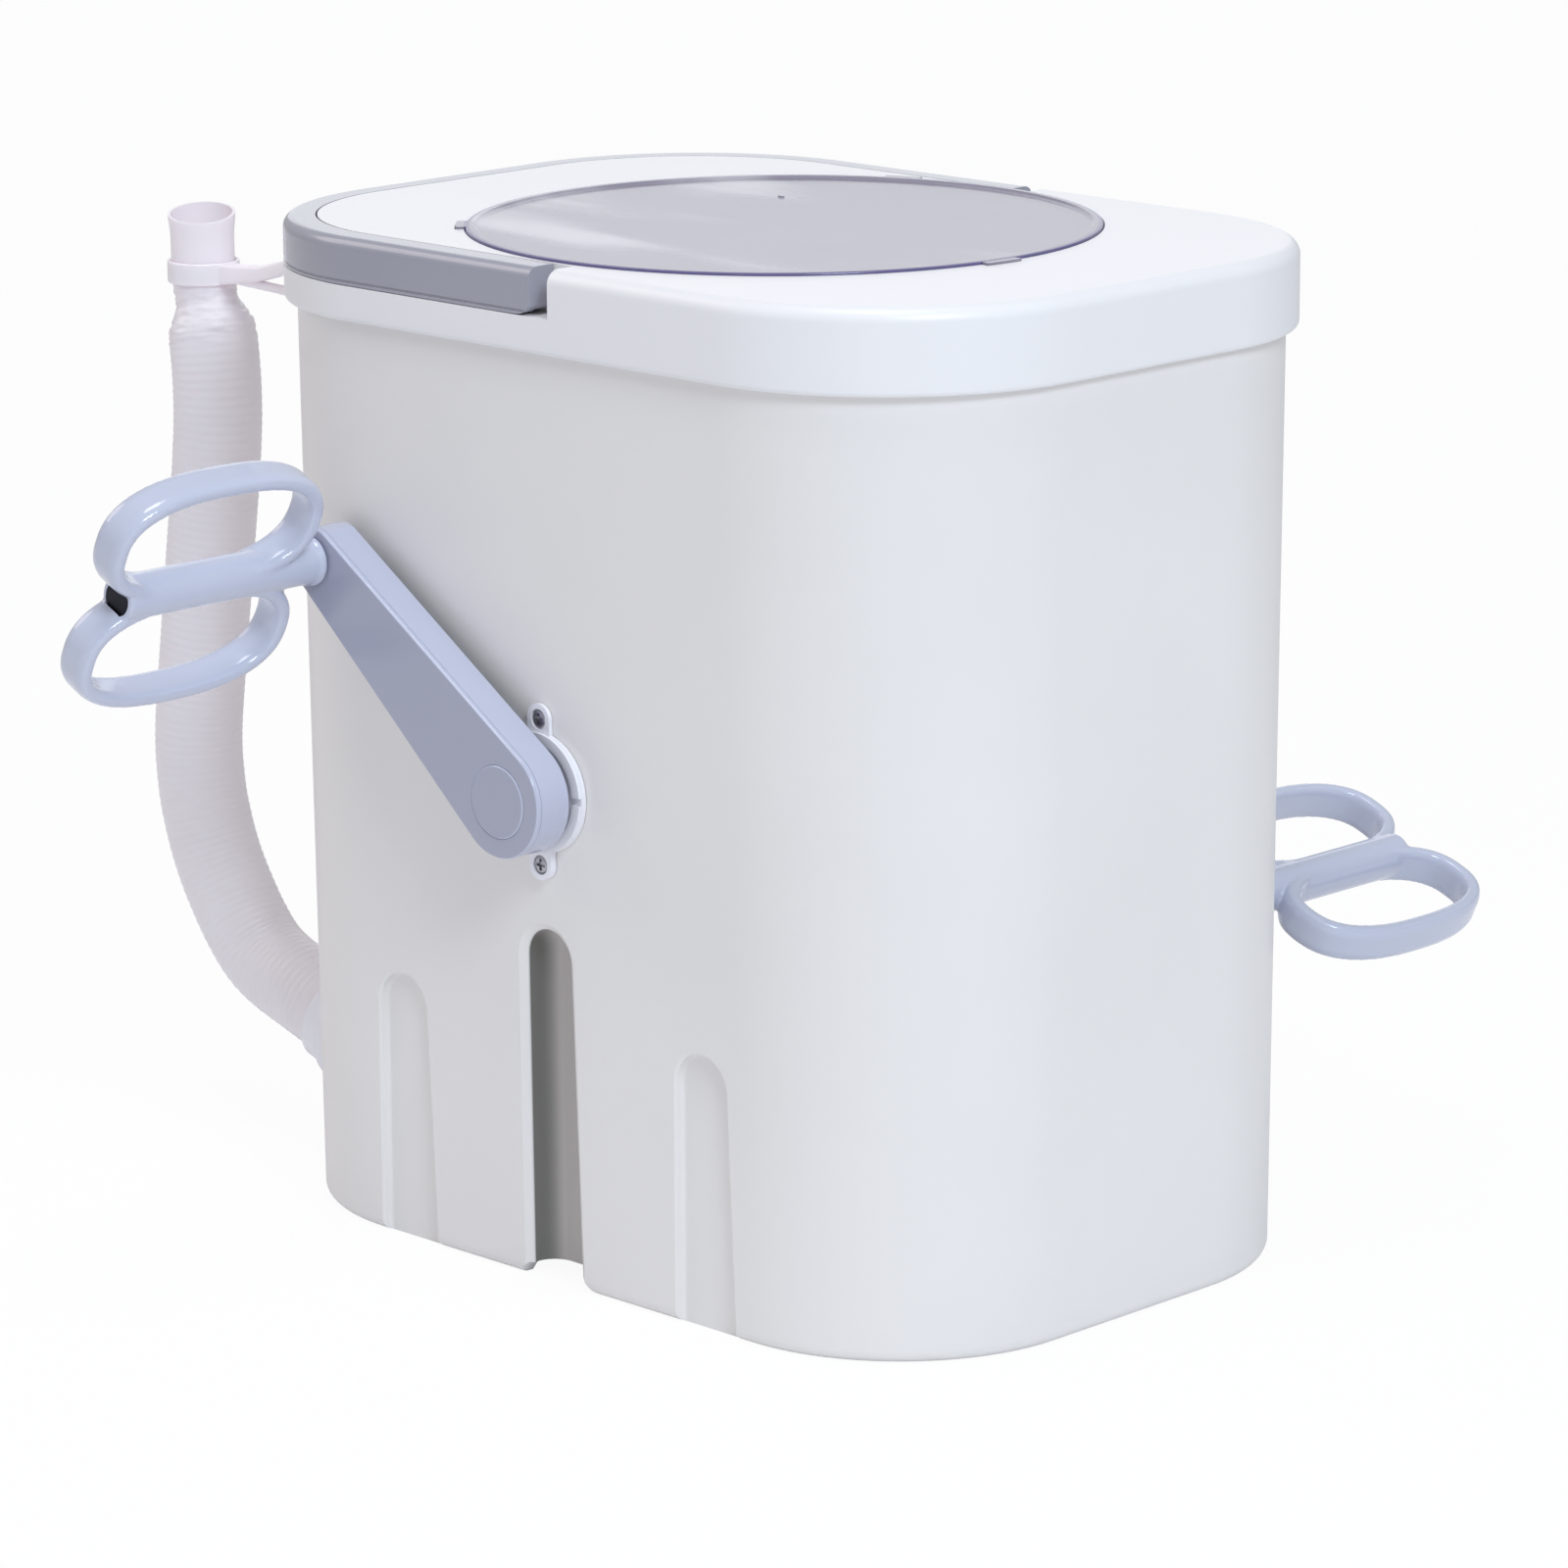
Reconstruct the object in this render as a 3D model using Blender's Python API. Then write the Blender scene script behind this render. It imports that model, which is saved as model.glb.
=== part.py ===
# Hand-cranked washing machine: a rounded oblong bucket with a clipped-on deck, a clear lift-out cover,
# a swinging carry handle, two cranks with looped pedals on one cross shaft, a bevel drive that turns the
# spin basket, and a ribbed drain hose clipped up beside the deck.
# Metres, +Z up, origin in the middle of the bucket's underside, cranks on the -Y and +Y walls.

import math

import bmesh
import bpy
from mathutils import Matrix, Vector

# Clearances
GAP = 0.0003            # between pieces that touch
RUN = 0.0004            # round a part that turns or swings
OVERRUN = 0.01          # how far a cutter passes the wall it cuts

# Facets
CORNER_STEPS = 5
TURN_STEPS = 20
DISC_STEPS = 36
PIPE_STEPS = 16
SMALL_STEPS = 8
PATH_STEPS = 12

# Bucket
BUCKET_HEIGHT = 0.3782
BUCKET_LENGTH_LOW = 0.3735
BUCKET_LENGTH_TOP = 0.3760
BUCKET_WIDTH_LOW = 0.2555
BUCKET_WIDTH_TOP = 0.2700
BUCKET_FLAT_LOW = 0.04475   # half the flat middle of an end wall
BUCKET_FLAT_TOP = 0.045
BUCKET_WALL = 0.003
BUCKET_EDGE = 0.005
BUCKET_INNER_EDGE = 0.0025
FLOOR_UNDERSIDE = 0.030
FLOOR_THICKNESS = 0.004
FOOT_BOSS_RADIUS = 0.030
FOOT_WALL = 0.0075
FOOT_RIB = 0.003
FOOT_RIB_LIFT = 0.004
BEAD_HEIGHT = 0.004
BEAD_REACH = 0.0008

# Grooves in the long walls
GROOVE_SPACING = 0.083
SIDE_GROOVE_DROP = 0.033    # from the middle groove's top down to a side groove's
SIDE_GROOVE_HALF_TOP = 0.0132
SIDE_GROOVE_HALF_LOW = 0.0158
SIDE_GROOVE_DEPTH = 0.004
MID_GROOVE_DROP = 0.0555    # from the shaft down to the middle groove's top
MID_GROOVE_HALF_TOP = 0.0123
MID_GROOVE_HALF_LOW = 0.0162
MID_GROOVE_DEPTH = 0.013
MID_NOTCH_HEIGHT = 0.0055
MID_NOTCH_FLARE = 0.0015

# Deck
DECK_END_OVERHANG = 0.004
DECK_SIDE_OVERHANG = 0.0036
DECK_CORNER_MORE = 0.001
DECK_SKIRT = 0.0326
DECK_EDGE = 0.007
DECK_LIP_EDGE = 0.003
DECK_WALL = 0.0022
DECK_PLATE = 0.003
LIP_HEIGHT = 0.005
COVER_MARGIN = 0.0153       # the deck's width left beside the cover
COVER_THICKNESS = 0.003
COVER_LIP_WIDTH = 0.004
COVER_LIP_DEPTH = 0.006
OPENING_LEDGE = 0.0068
OPENING_RIM_DEPTH = 0.0115
OPENING_RIM_WALL = 0.003
SEAL_HEIGHT = 0.0012
COVER_SINK = 0.0003
TAB_ANGLES = (0, 112, 225)
TAB_HALF_ANGLES = (6.5, 3.5, 3.5)
TAB_REACH = 0.0035
TAB_THICKNESS = 0.0018
TAB_RISE = 0.0012

# Carry handle and its step in the deck
HANDLE_HEIGHT = 0.0182
HANDLE_STRIP = 0.0128
HANDLE_STRIP_THICKNESS = 0.004
HANDLE_SKIRT = 0.0050
HANDLE_INNER_GAP = 0.0007
HANDLE_END = 0.003
HANDLE_END_GAP = 0.010
HANDLE_PIVOT_BACK = 0.007
HANDLE_PIVOT_LIFT = 0.009
PIVOT_PIN_RADIUS = 0.0022
PIVOT_BITE = 0.0018
PIVOT_COLLAR_RADIUS = 0.0040

# Crank shaft and bearings
SHAFT_HEIGHT = 0.198
SHAFT_RADIUS = 0.007
SHAFT_SQUARE = 0.010
BUSH_WALL = 0.0026
BUSH_INSIDE = 0.0070
FLANGE_RADIUS = 0.0235
FLANGE_PLATE = 0.0022
FLANGE_RING_HEIGHT = 0.0034
FLANGE_RING_WALL = 0.004
FLANGE_NOTCH = 0.003
EAR_RADIUS = 0.0060
EAR_SPACING = 0.057
FLANGE_SCREW_RADIUS = 0.0018
FLANGE_SCREW_HEAD = 0.0036
FLANGE_SCREW_HEAD_HEIGHT = 0.0016
FLANGE_SCREW_LENGTH = 0.0090
SLOT_LENGTH_SHARE = 0.6
SCREW_BOSS_WALL = 0.003
SCREW_BOSS_DEPTH = 0.008
SEAL_RADIUS = 0.0125
SEAL_THICKNESS = 0.004

# Crank arms
CRANK_THROW = 0.129
CRANK_ANGLE = 142.5
ARM_RADIUS_HUB = 0.0220
ARM_RADIUS_TIP = 0.0128
ARM_THICKNESS = 0.019
ARM_EDGE = 0.0015
ARM_OFFSET = 0.0012
ARM_SHELL = 0.0030
ARM_RIBS = 3
ARM_RIB = 0.002
CAP_RADIUS = 0.0165
CAP_THICKNESS = 0.0022
CAP_PROUD = 0.0003
CRANK_BOLT_RADIUS = 0.003
CRANK_BOLT_HEAD = 0.0062
CRANK_BOLT_HEAD_HEIGHT = 0.004
CRANK_BOLT_LENGTH = 0.020
BOLT_CAP_ROOM = 0.0008

# Pedals
PEDAL_LOOP_HALF_LENGTH = 0.0480
PEDAL_LOOP_HALF_WIDTH = 0.0230
PEDAL_LOOP_SPACING = 0.0490
PEDAL_SHAPE_POWER = 2.5
PEDAL_BAND_WIDTH = 0.0155
PEDAL_BAND_THICKNESS = 0.0066
PEDAL_LOOP_POINTS = 24
PEDAL_SLEEVE_RADIUS = 0.0088
PEDAL_SLEEVE_SHORT = 0.014
PEDAL_COLLAR_RADIUS = 0.0098
PEDAL_COLLAR_LENGTH = 0.009
PEDAL_AXLE_RADIUS = 0.004
PEDAL_AXLE_THREAD = 0.012
PEDAL_AXLE_HEAD = 0.0062
PEDAL_AXLE_HEAD_HEIGHT = 0.003
PEDAL_SLANT_FRONT = 244.3
PEDAL_SLANT_REAR = 337.2

# Bevel drive
WHEEL_TEETH = 24
PINION_TEETH = 8
WHEEL_PITCH_RADIUS = 0.030
TOOTH_FACE = 0.009
TOOTH_ADDENDUM = 0.0014
TOOTH_DEDENDUM = 0.0020
TOOTH_ROOT_SHARE = 0.56
TOOTH_TIP_SHARE = 0.22
WHEEL_BACK = 0.0040
PINION_BACK = 0.0030

# Gear housing
HOUSING_RADIUS = 0.042
HOUSING_WALL = 0.0035
HOUSING_DEPTH = 0.043
HOUSING_RISE = 0.045
HOUSING_TAPER = 0.020
HOUSING_FLANGE = 0.0085
HOUSING_FLANGE_THICKNESS = 0.004
PEDESTAL_RADIUS = 0.027
PEDESTAL_FOOT_RADIUS = 0.046
PEDESTAL_FOOT = 0.004
HOUSING_SCREW_RADIUS = 0.0018
HOUSING_SCREW_HEAD = 0.0034
HOUSING_SCREW_HEAD_HEIGHT = 0.0022
HOUSING_SCREW_ANGLES = (45, 135, 225, 315)
TOWER_RADIUS = 0.0125
TOWER_HEIGHT = 0.017

# Output shaft and basket
OUTPUT_RADIUS = 0.004
SHAFT_START_SHARE = 2 / 3
OUTPUT_BUSH_WALL = 0.0036
OUTPUT_SEAL_HEIGHT = 0.0035
OUTPUT_COLLAR_RADIUS = 0.010
OUTPUT_COLLAR_HEIGHT = 0.004
OUTPUT_COLLAR_LIFT = 0.001
BASKET_ROOM = 0.0045        # between the basket and the opening's edge
BASKET_DROP = 0.0155        # from the deck's top down to the basket's
BASKET_WALL = 0.0022
BASKET_FLOOR = 0.003
BASKET_TAPER = 0.004
BASKET_ROUND = 0.012
BASKET_RIM_REACH = 0.002
BASKET_RIM_HEIGHT = 0.004
SLOTS_PER_ROW = 12
SLOT_ROWS = 2
SLOT_WIDTH = 0.005
SLOT_HEIGHT = 0.028
SLOT_FIRST = 0.024
SLOT_ROW_STEP = 0.042
FLOOR_HOLES = 8
FLOOR_HOLE_RADIUS = 0.004
FLOOR_HOLE_CIRCLE = 0.070
HUB_RADIUS = 0.030
HUB_TOP_RADIUS = 0.012
HUB_HEIGHT = 0.027
HUB_FINS = 3
HUB_FIN = 0.003
HUB_FIN_REACH = 0.045
NUT_RADIUS = 0.0085
NUT_HEIGHT = 0.009
NUT_DOME = 0.0016
NUT_DOME_SHARE = 0.75
NUT_BITE = 0.0065

# Drain spigot and hose
HOSE_PAST_FLAT = 0.01725    # how far the hose's plane lies past the end wall's flat middle
HOSE_SWING = 0.0974         # how far the hose swings out from the end wall
HOSE_RADIUS = 0.0183
HOSE_VALLEY = 0.0164
HOSE_BORE = 0.0142
HOSE_RIB_PITCH = 0.0044
BORE_STEP_SHARE = 0.6
CUFF_RADIUS = 0.0130
CUFF_MOUTH_RADIUS = 0.0138
CUFF_BORE = 0.0112
CUFF_LENGTH = 0.035
CUFF_FLARE_LENGTH = 0.010
CUFF_SHOULDER = 0.014
HOSE_SIDES_RESOLUTION = 2
SPIGOT_HEIGHT = 0.0525
SPIGOT_TILT = 18
SPIGOT_RADIUS = 0.0125
SPIGOT_BORE = 0.0100
SPIGOT_REACH = 0.034
SPIGOT_COLLAR_RADIUS = 0.0205
SPIGOT_COLLAR = 0.006
SPIGOT_FLANGE_RADIUS = 0.0235
SPIGOT_FLANGE = 0.004
SPIGOT_STANDOFF = 0.008
SPIGOT_END = 0.0022          # past its nut
SPIGOT_NUT_RADIUS = 0.0172
SPIGOT_NUT = 0.006
GASKET_RADIUS = 0.0155
GASKET_LEAST = 0.00185      # where the bucket's round corner comes nearest to its flat back
CLIP_DROP = 0.0083
CLIP_BAND = 0.009
CLIP_ROOM = 0.0014
CLIP_RING_WALL = 0.0022
CLIP_ARM_WIDTH = 0.008
CLIP_FOOT_WIDTH = 0.030
CLIP_FOOT_HEIGHT = 0.012
CLIP_FOOT = 0.003
CLIP_MOUTH = 0.016

# The hose's route from the spigot's end to its open mouth, in the plane HOSE_PLANE, as shares: of HOSE_SWING
# out from the bucket's end wall, and of the way from the spigot up to the deck's top
HOSE_ROUTE = (
    (0.61602, 0.06331), (0.71253, 0.09007), (0.79877, 0.12230), (0.88912, 0.16460), (0.95277, 0.21007),
    (0.99076, 0.25698), (1.00000, 0.32317), (0.94456, 0.44000), (0.88296, 0.56201), (0.83676, 0.65468),
    (0.81828, 0.72950), (0.83470, 0.79856), (0.88296, 0.86791), (0.89117, 0.95050),
)

# Colours as red, green, blue shares with roughness and metallic shares
FINISHES = {
    "white_plastic": ((0.86, 0.87, 0.89), 0.35, 0.0),
    "deck_plastic": ((0.93, 0.94, 0.97), 0.30, 0.0),
    "grey_plastic": ((0.30, 0.31, 0.36), 0.38, 0.0),
    "blue_grey_plastic": ((0.44, 0.48, 0.62), 0.28, 0.0),
    "clear_plastic": ((0.62, 0.60, 0.72), 0.08, 0.0),
    "hose_plastic": ((0.80, 0.74, 0.80), 0.45, 0.0),
    "basket_plastic": ((0.80, 0.80, 0.83), 0.40, 0.0),
    "housing_plastic": ((0.55, 0.56, 0.60), 0.45, 0.0),
    "gear_plastic": ((0.82, 0.80, 0.72), 0.45, 0.0),
    "dark_rubber": ((0.05, 0.05, 0.05), 0.80, 0.0),
    "bush_plastic": ((0.12, 0.12, 0.13), 0.50, 0.0),
    "steel": ((0.56, 0.57, 0.58), 0.28, 1.0),
}

# Sizes and places worked out from the sizes above
BUCKET_CORNER_LOW = BUCKET_WIDTH_LOW / 2 - BUCKET_FLAT_LOW
BUCKET_CORNER_TOP = BUCKET_WIDTH_TOP / 2 - BUCKET_FLAT_TOP
MID_GROOVE_TOP = SHAFT_HEIGHT - MID_GROOVE_DROP
SIDE_GROOVE_TOP = MID_GROOVE_TOP - SIDE_GROOVE_DROP
DECK_LENGTH = BUCKET_LENGTH_TOP + 2 * DECK_END_OVERHANG
DECK_WIDTH = BUCKET_WIDTH_TOP + 2 * DECK_SIDE_OVERHANG
DECK_CORNER = BUCKET_CORNER_TOP + DECK_CORNER_MORE
COVER_RADIUS = DECK_WIDTH / 2 - COVER_MARGIN
OPENING_RADIUS = COVER_RADIUS - OPENING_LEDGE
STEP_TOP = BUCKET_HEIGHT + GAP + DECK_PLATE
HANDLE_LOW = STEP_TOP + GAP
DECK_TOP = HANDLE_LOW + HANDLE_HEIGHT
DECK_LOW = DECK_TOP - DECK_SKIRT
CLIP_HEIGHT = DECK_LOW - CLIP_DROP
BASKET_TOP = DECK_TOP - BASKET_DROP
BASKET_RADIUS = OPENING_RADIUS - BASKET_ROOM
HOSE_PLANE = -BUCKET_FLAT_LOW - HOSE_PAST_FLAT
FLOOR_TOP = FLOOR_UNDERSIDE + FLOOR_THICKNESS
COVER_TOP = DECK_TOP - COVER_SINK
COVER_SEAT = COVER_TOP - COVER_THICKNESS - GAP - SEAL_HEIGHT - GAP
PIVOT_X = HANDLE_END - HANDLE_PIVOT_BACK
PIVOT_Z = HANDLE_LOW + HANDLE_PIVOT_LIFT
STEP_INSET = HANDLE_STRIP + HANDLE_INNER_GAP
BUSH_RADIUS = SHAFT_RADIUS + RUN + BUSH_WALL
APEX_TO_PINION = WHEEL_PITCH_RADIUS
APEX_TO_WHEEL = WHEEL_PITCH_RADIUS * PINION_TEETH / WHEEL_TEETH
SIDES = {"front": -1, "rear": 1}


def clear_scene():
    for thing in list(bpy.data.objects):
        bpy.data.objects.remove(thing, do_unlink=True)


def paint(thing, finish):
    colour, roughness, metallic = FINISHES[finish]
    material = bpy.data.materials.new(thing.name + "_" + finish)
    material.use_nodes = True
    shader = material.node_tree.nodes["Principled BSDF"]
    shader.inputs["Base Color"].default_value = (*colour, 1)
    shader.inputs["Roughness"].default_value = roughness
    shader.inputs["Metallic"].default_value = metallic
    thing.data.materials.clear()
    thing.data.materials.append(material)


def add_object(name, mesh, finish=None):
    thing = bpy.data.objects.new(name, mesh)
    bpy.context.scene.collection.objects.link(thing)
    if finish is None:
        hide(thing)
    else:
        paint(thing, finish)
    return thing


def hide(thing):
    thing.hide_render = True
    thing.display_type = "WIRE"


def solid(name, points, faces, finish=None):
    mesh = bpy.data.meshes.new(name)
    mesh.from_pydata([tuple(point) for point in points], [], faces)
    shell = bmesh.new()
    shell.from_mesh(mesh)
    bmesh.ops.recalc_face_normals(shell, faces=shell.faces)
    shell.to_mesh(mesh)
    shell.free()
    mesh.shade_smooth()
    mesh.set_sharp_from_angle(angle=math.radians(35))
    return add_object(name, mesh, finish)


def combine(thing, other, operation):
    modifier = thing.modifiers.new(other.name, "BOOLEAN")
    modifier.operation = operation
    modifier.solver = "EXACT"
    modifier.object = other
    hide(other)


def cut(thing, *cutters):
    for cutter in cutters:
        combine(thing, cutter, "DIFFERENCE")
    return thing


def fuse(thing, *others):
    for other in others:
        combine(thing, other, "UNION")
    return thing


def set_origin(thing, place):
    offset = Vector(place)
    thing.data.transform(Matrix.Translation(-offset))
    thing.location = offset


def along_axis(axis, across, height, centre):
    """Puts a point given across and along an axis into the model's own directions."""
    first, second = across
    point = {"X": (height, first, second), "Y": (first, height, second), "Z": (first, second, height)}[axis]
    return tuple(value + shift for value, shift in zip(point, centre))


def loft_parts(rings, start=0):
    points = [point for ring in rings for point in ring]
    count = len(rings[0])
    faces = []
    for level in range(len(rings) - 1):
        base = start + level * count
        for step in range(count):
            after = (step + 1) % count
            faces.append((base + step, base + after, base + count + after, base + count + step))
    last = start + (len(rings) - 1) * count
    faces.append(tuple(range(start, start + count)))
    faces.append(tuple(range(last, last + count)))
    return points, faces


def loft(name, rings, finish=None):
    return solid(name, *loft_parts(rings), finish)


def lofts(name, stacks, finish=None):
    """Several separate lofted bodies in one object, for cutters."""
    points = []
    faces = []
    for rings in stacks:
        more_points, more_faces = loft_parts(rings, len(points))
        points += more_points
        faces += more_faces
    return solid(name, points, faces, finish)


def turned(name, profile, axis="Z", centre=(0, 0, 0), finish=None, steps=TURN_STEPS):
    """Turns a profile of (radius, height) points about an axis; a radius of zero is a pole."""
    points = []
    rings = []
    for radius, height in profile:
        ring = []
        count = steps if radius > 0 else 1
        for step in range(count):
            angle = math.tau * step / steps
            ring.append(len(points))
            across = (radius * math.cos(angle), radius * math.sin(angle))
            points.append(along_axis(axis, across, height, centre))
        rings.append(ring)
    pairs = list(zip(rings, rings[1:]))
    if profile[0][0] > 0:
        pairs.append((rings[-1], rings[0]))
    faces = []
    for one, two in pairs:
        for step in range(steps):
            after = (step + 1) % steps
            corners = [one[step % len(one)], one[after % len(one)],
                       two[after % len(two)], two[step % len(two)]]
            faces.append(tuple(dict.fromkeys(corners)))
    return solid(name, points, [face for face in faces if len(face) > 2], finish)


def rod(name, radius, low, high, axis="Z", centre=(0, 0, 0), finish=None, steps=TURN_STEPS):
    profile = ((0, low), (radius, low), (radius, high), (0, high))
    return turned(name, profile, axis, centre, finish, steps)


def pipe(name, outer, inner, low, high, axis="Z", centre=(0, 0, 0), finish=None, steps=TURN_STEPS):
    profile = ((inner, low), (outer, low), (outer, high), (inner, high))
    return turned(name, profile, axis, centre, finish, steps)


def prism(name, outline, axis, low, high, centre=(0, 0, 0), finish=None):
    rings = [[along_axis(axis, point, height, centre) for point in outline] for height in (low, high)]
    return loft(name, rings, finish)


def box(name, low, high, finish=None):
    outline = ((low[0], low[1]), (high[0], low[1]), (high[0], high[1]), (low[0], high[1]))
    return prism(name, outline, "Z", low[2], high[2], finish=finish)


def arc(centre, radius, start, end, steps):
    """Points on an arc, with its angles in degrees."""
    points = []
    for step in range(steps + 1):
        angle = math.radians(start + (end - start) * step / steps)
        points.append((centre[0] + radius * math.cos(angle), centre[1] + radius * math.sin(angle)))
    return points


def rounded_ring(length, width, radius, height):
    points = []
    for quarter, (side_x, side_y) in enumerate(((1, 1), (-1, 1), (-1, -1), (1, -1))):
        centre = (side_x * (length / 2 - radius), side_y * (width / 2 - radius))
        points += arc(centre, radius, 90 * quarter, 90 * quarter + 90, CORNER_STEPS)
    return [(x, y, height) for x, y in points]


def bucket_ring(height, inset=0.0):
    share = height / BUCKET_HEIGHT
    length = BUCKET_LENGTH_LOW + (BUCKET_LENGTH_TOP - BUCKET_LENGTH_LOW) * share
    width = BUCKET_WIDTH_LOW + (BUCKET_WIDTH_TOP - BUCKET_WIDTH_LOW) * share
    corner = BUCKET_CORNER_LOW + (BUCKET_CORNER_TOP - BUCKET_CORNER_LOW) * share
    return rounded_ring(length - 2 * inset, width - 2 * inset, corner - inset, height)


def wall_reach(height):
    """Half the bucket's width at a height."""
    return (BUCKET_WIDTH_LOW + (BUCKET_WIDTH_TOP - BUCKET_WIDTH_LOW) * height / BUCKET_HEIGHT) / 2


def end_reach(height):
    """Half the bucket's length at a height."""
    return (BUCKET_LENGTH_LOW + (BUCKET_LENGTH_TOP - BUCKET_LENGTH_LOW) * height / BUCKET_HEIGHT) / 2


def deck_ring(height, inset=0.0):
    return rounded_ring(DECK_LENGTH - 2 * inset, DECK_WIDTH - 2 * inset, DECK_CORNER - inset, height)


def rounded_top(ring, top, inset, radius, steps=5):
    """Rings that close a wall into a flat top round a quarter circle."""
    rings = []
    for lean, rise in arc((0, 0), radius, 0, 90, steps):
        rings.append(ring(top - radius + rise, inset + radius - lean))
    return rings


def bucket_skin(name, low, high, inset):
    return loft(name, [bucket_ring(low, inset), bucket_ring(high, inset)])


def groove_rings(middle, top, half_top, half_low, depth, side, extra):
    """A round-topped groove that widens downwards, as two rings across the wall."""
    centre = (middle, top - half_top)
    outline = arc(centre, half_top + extra, 0, 180, 8)
    outline += [(middle - half_low - extra, -OVERRUN), (middle + half_low + extra, -OVERRUN)]
    outer = [(x, side * (wall_reach(z) + OVERRUN), z) for x, z in outline]
    inner = [(x, side * (wall_reach(z) - depth - extra), z) for x, z in outline]
    return [outer, inner]


def groove_cutter(name, extra):
    stacks = []
    for side in SIDES.values():
        stacks.append(groove_rings(0, MID_GROOVE_TOP, MID_GROOVE_HALF_TOP, MID_GROOVE_HALF_LOW,
                                   MID_GROOVE_DEPTH, side, extra))
        for middle in (-GROOVE_SPACING, GROOVE_SPACING):
            stacks.append(groove_rings(middle, SIDE_GROOVE_TOP, SIDE_GROOVE_HALF_TOP, SIDE_GROOVE_HALF_LOW,
                                       SIDE_GROOVE_DEPTH, side, extra))
    return lofts(name, stacks)


def screw_heights():
    return {"upper": SHAFT_HEIGHT + EAR_SPACING / 2, "lower": SHAFT_HEIGHT - EAR_SPACING / 2}


# Bucket
def make_bucket():
    low_rings = [bucket_ring(BUCKET_EDGE * (1 - rise), BUCKET_EDGE * (1 - lean))
                 for rise, lean in arc((0, 0), 1, 0, 90, 3)]
    bead_low = BUCKET_HEIGHT - BEAD_HEIGHT
    rings = low_rings + [bucket_ring(bead_low), bucket_ring(bead_low, -BEAD_REACH),
                         bucket_ring(BUCKET_HEIGHT, -BEAD_REACH)]
    bucket = loft("outer_bucket", rings, "white_plastic")
    inside = loft("cut_inside", [bucket_ring(FLOOR_TOP, BUCKET_WALL + BUCKET_INNER_EDGE),
                                 bucket_ring(FLOOR_TOP + BUCKET_INNER_EDGE, BUCKET_WALL),
                                 bucket_ring(BUCKET_HEIGHT + OVERRUN, BUCKET_WALL)])
    under = bucket_skin("cut_under", -OVERRUN, FLOOR_UNDERSIDE, FOOT_WALL)
    half_length = BUCKET_LENGTH_LOW / 2
    half_width = BUCKET_WIDTH_LOW / 2
    rib = FOOT_RIB / 2
    boss = rod("keep_boss", FOOT_BOSS_RADIUS, -2 * OVERRUN, FLOOR_UNDERSIDE + OVERRUN)
    long_rib = box("keep_long_rib", (-half_length, -rib, FOOT_RIB_LIFT), (half_length, rib, FLOOR_TOP))
    cross_rib = box("keep_cross_rib", (-rib, -half_width, FOOT_RIB_LIFT), (rib, half_width, FLOOR_TOP))
    cut(inside, groove_cutter("keep_grooves_inside", BUCKET_WALL))
    cut(under, groove_cutter("keep_grooves_under", BUCKET_WALL), boss, long_rib, cross_rib)
    cut(bucket, groove_cutter("cut_grooves", 0), inside, under)
    notch_depth = MID_GROOVE_DEPTH + BUCKET_WALL + BUCKET_EDGE
    notch = MID_GROOVE_HALF_LOW + MID_NOTCH_FLARE
    wall = -end_reach(SPIGOT_HEIGHT)
    bores = rod("cut_spigot", SPIGOT_RADIUS + GAP, wall - OVERRUN, wall + spigot_seat(), "X",
                (0, HOSE_PLANE, SPIGOT_HEIGHT), steps=PIPE_STEPS)
    for name, side in SIDES.items():
        reach = sorted((side * (half_width + OVERRUN), side * (half_width - notch_depth)))
        cut(bucket, box(f"cut_notch_{name}", (-notch, reach[0], -OVERRUN),
                        (notch, reach[1], MID_NOTCH_HEIGHT)))
        fuse(bucket, bearing_bosses(name, side, bores))
    cut(bucket, bores)


def bearing_bosses(name, side, bores):
    """The bosses inside one long wall for the bush and the flange's screws; their bores join the others."""
    wall = wall_reach(SHAFT_HEIGHT)
    inner = wall - BUCKET_WALL - BUSH_INSIDE
    centre = (0, 0, SHAFT_HEIGHT)
    bosses = rod(f"add_bosses_{name}", BUSH_RADIUS + SCREW_BOSS_WALL, side * inner,
                 side * (wall - BUCKET_WALL / 2), "Y", centre)
    fuse(bores, rod(f"cut_bush_{name}", BUSH_RADIUS + GAP, side * (inner - OVERRUN), side * (wall + OVERRUN), "Y",
                    centre))
    for level, height in screw_heights().items():
        face = wall_reach(height)
        bottom = face - BUCKET_WALL - SCREW_BOSS_DEPTH
        fuse(bosses, rod(f"add_screw_boss_{name}_{level}", FLANGE_SCREW_RADIUS + SCREW_BOSS_WALL, side * bottom,
                         side * (face - BUCKET_WALL / 2), "Y", (0, 0, height), steps=SMALL_STEPS))
        fuse(bores, rod(f"cut_screw_{name}_{level}", FLANGE_SCREW_RADIUS + GAP, side * (bottom + BUCKET_WALL / 2),
                        side * (face + OVERRUN), "Y", (0, 0, height), steps=SMALL_STEPS))
    return bosses


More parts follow.
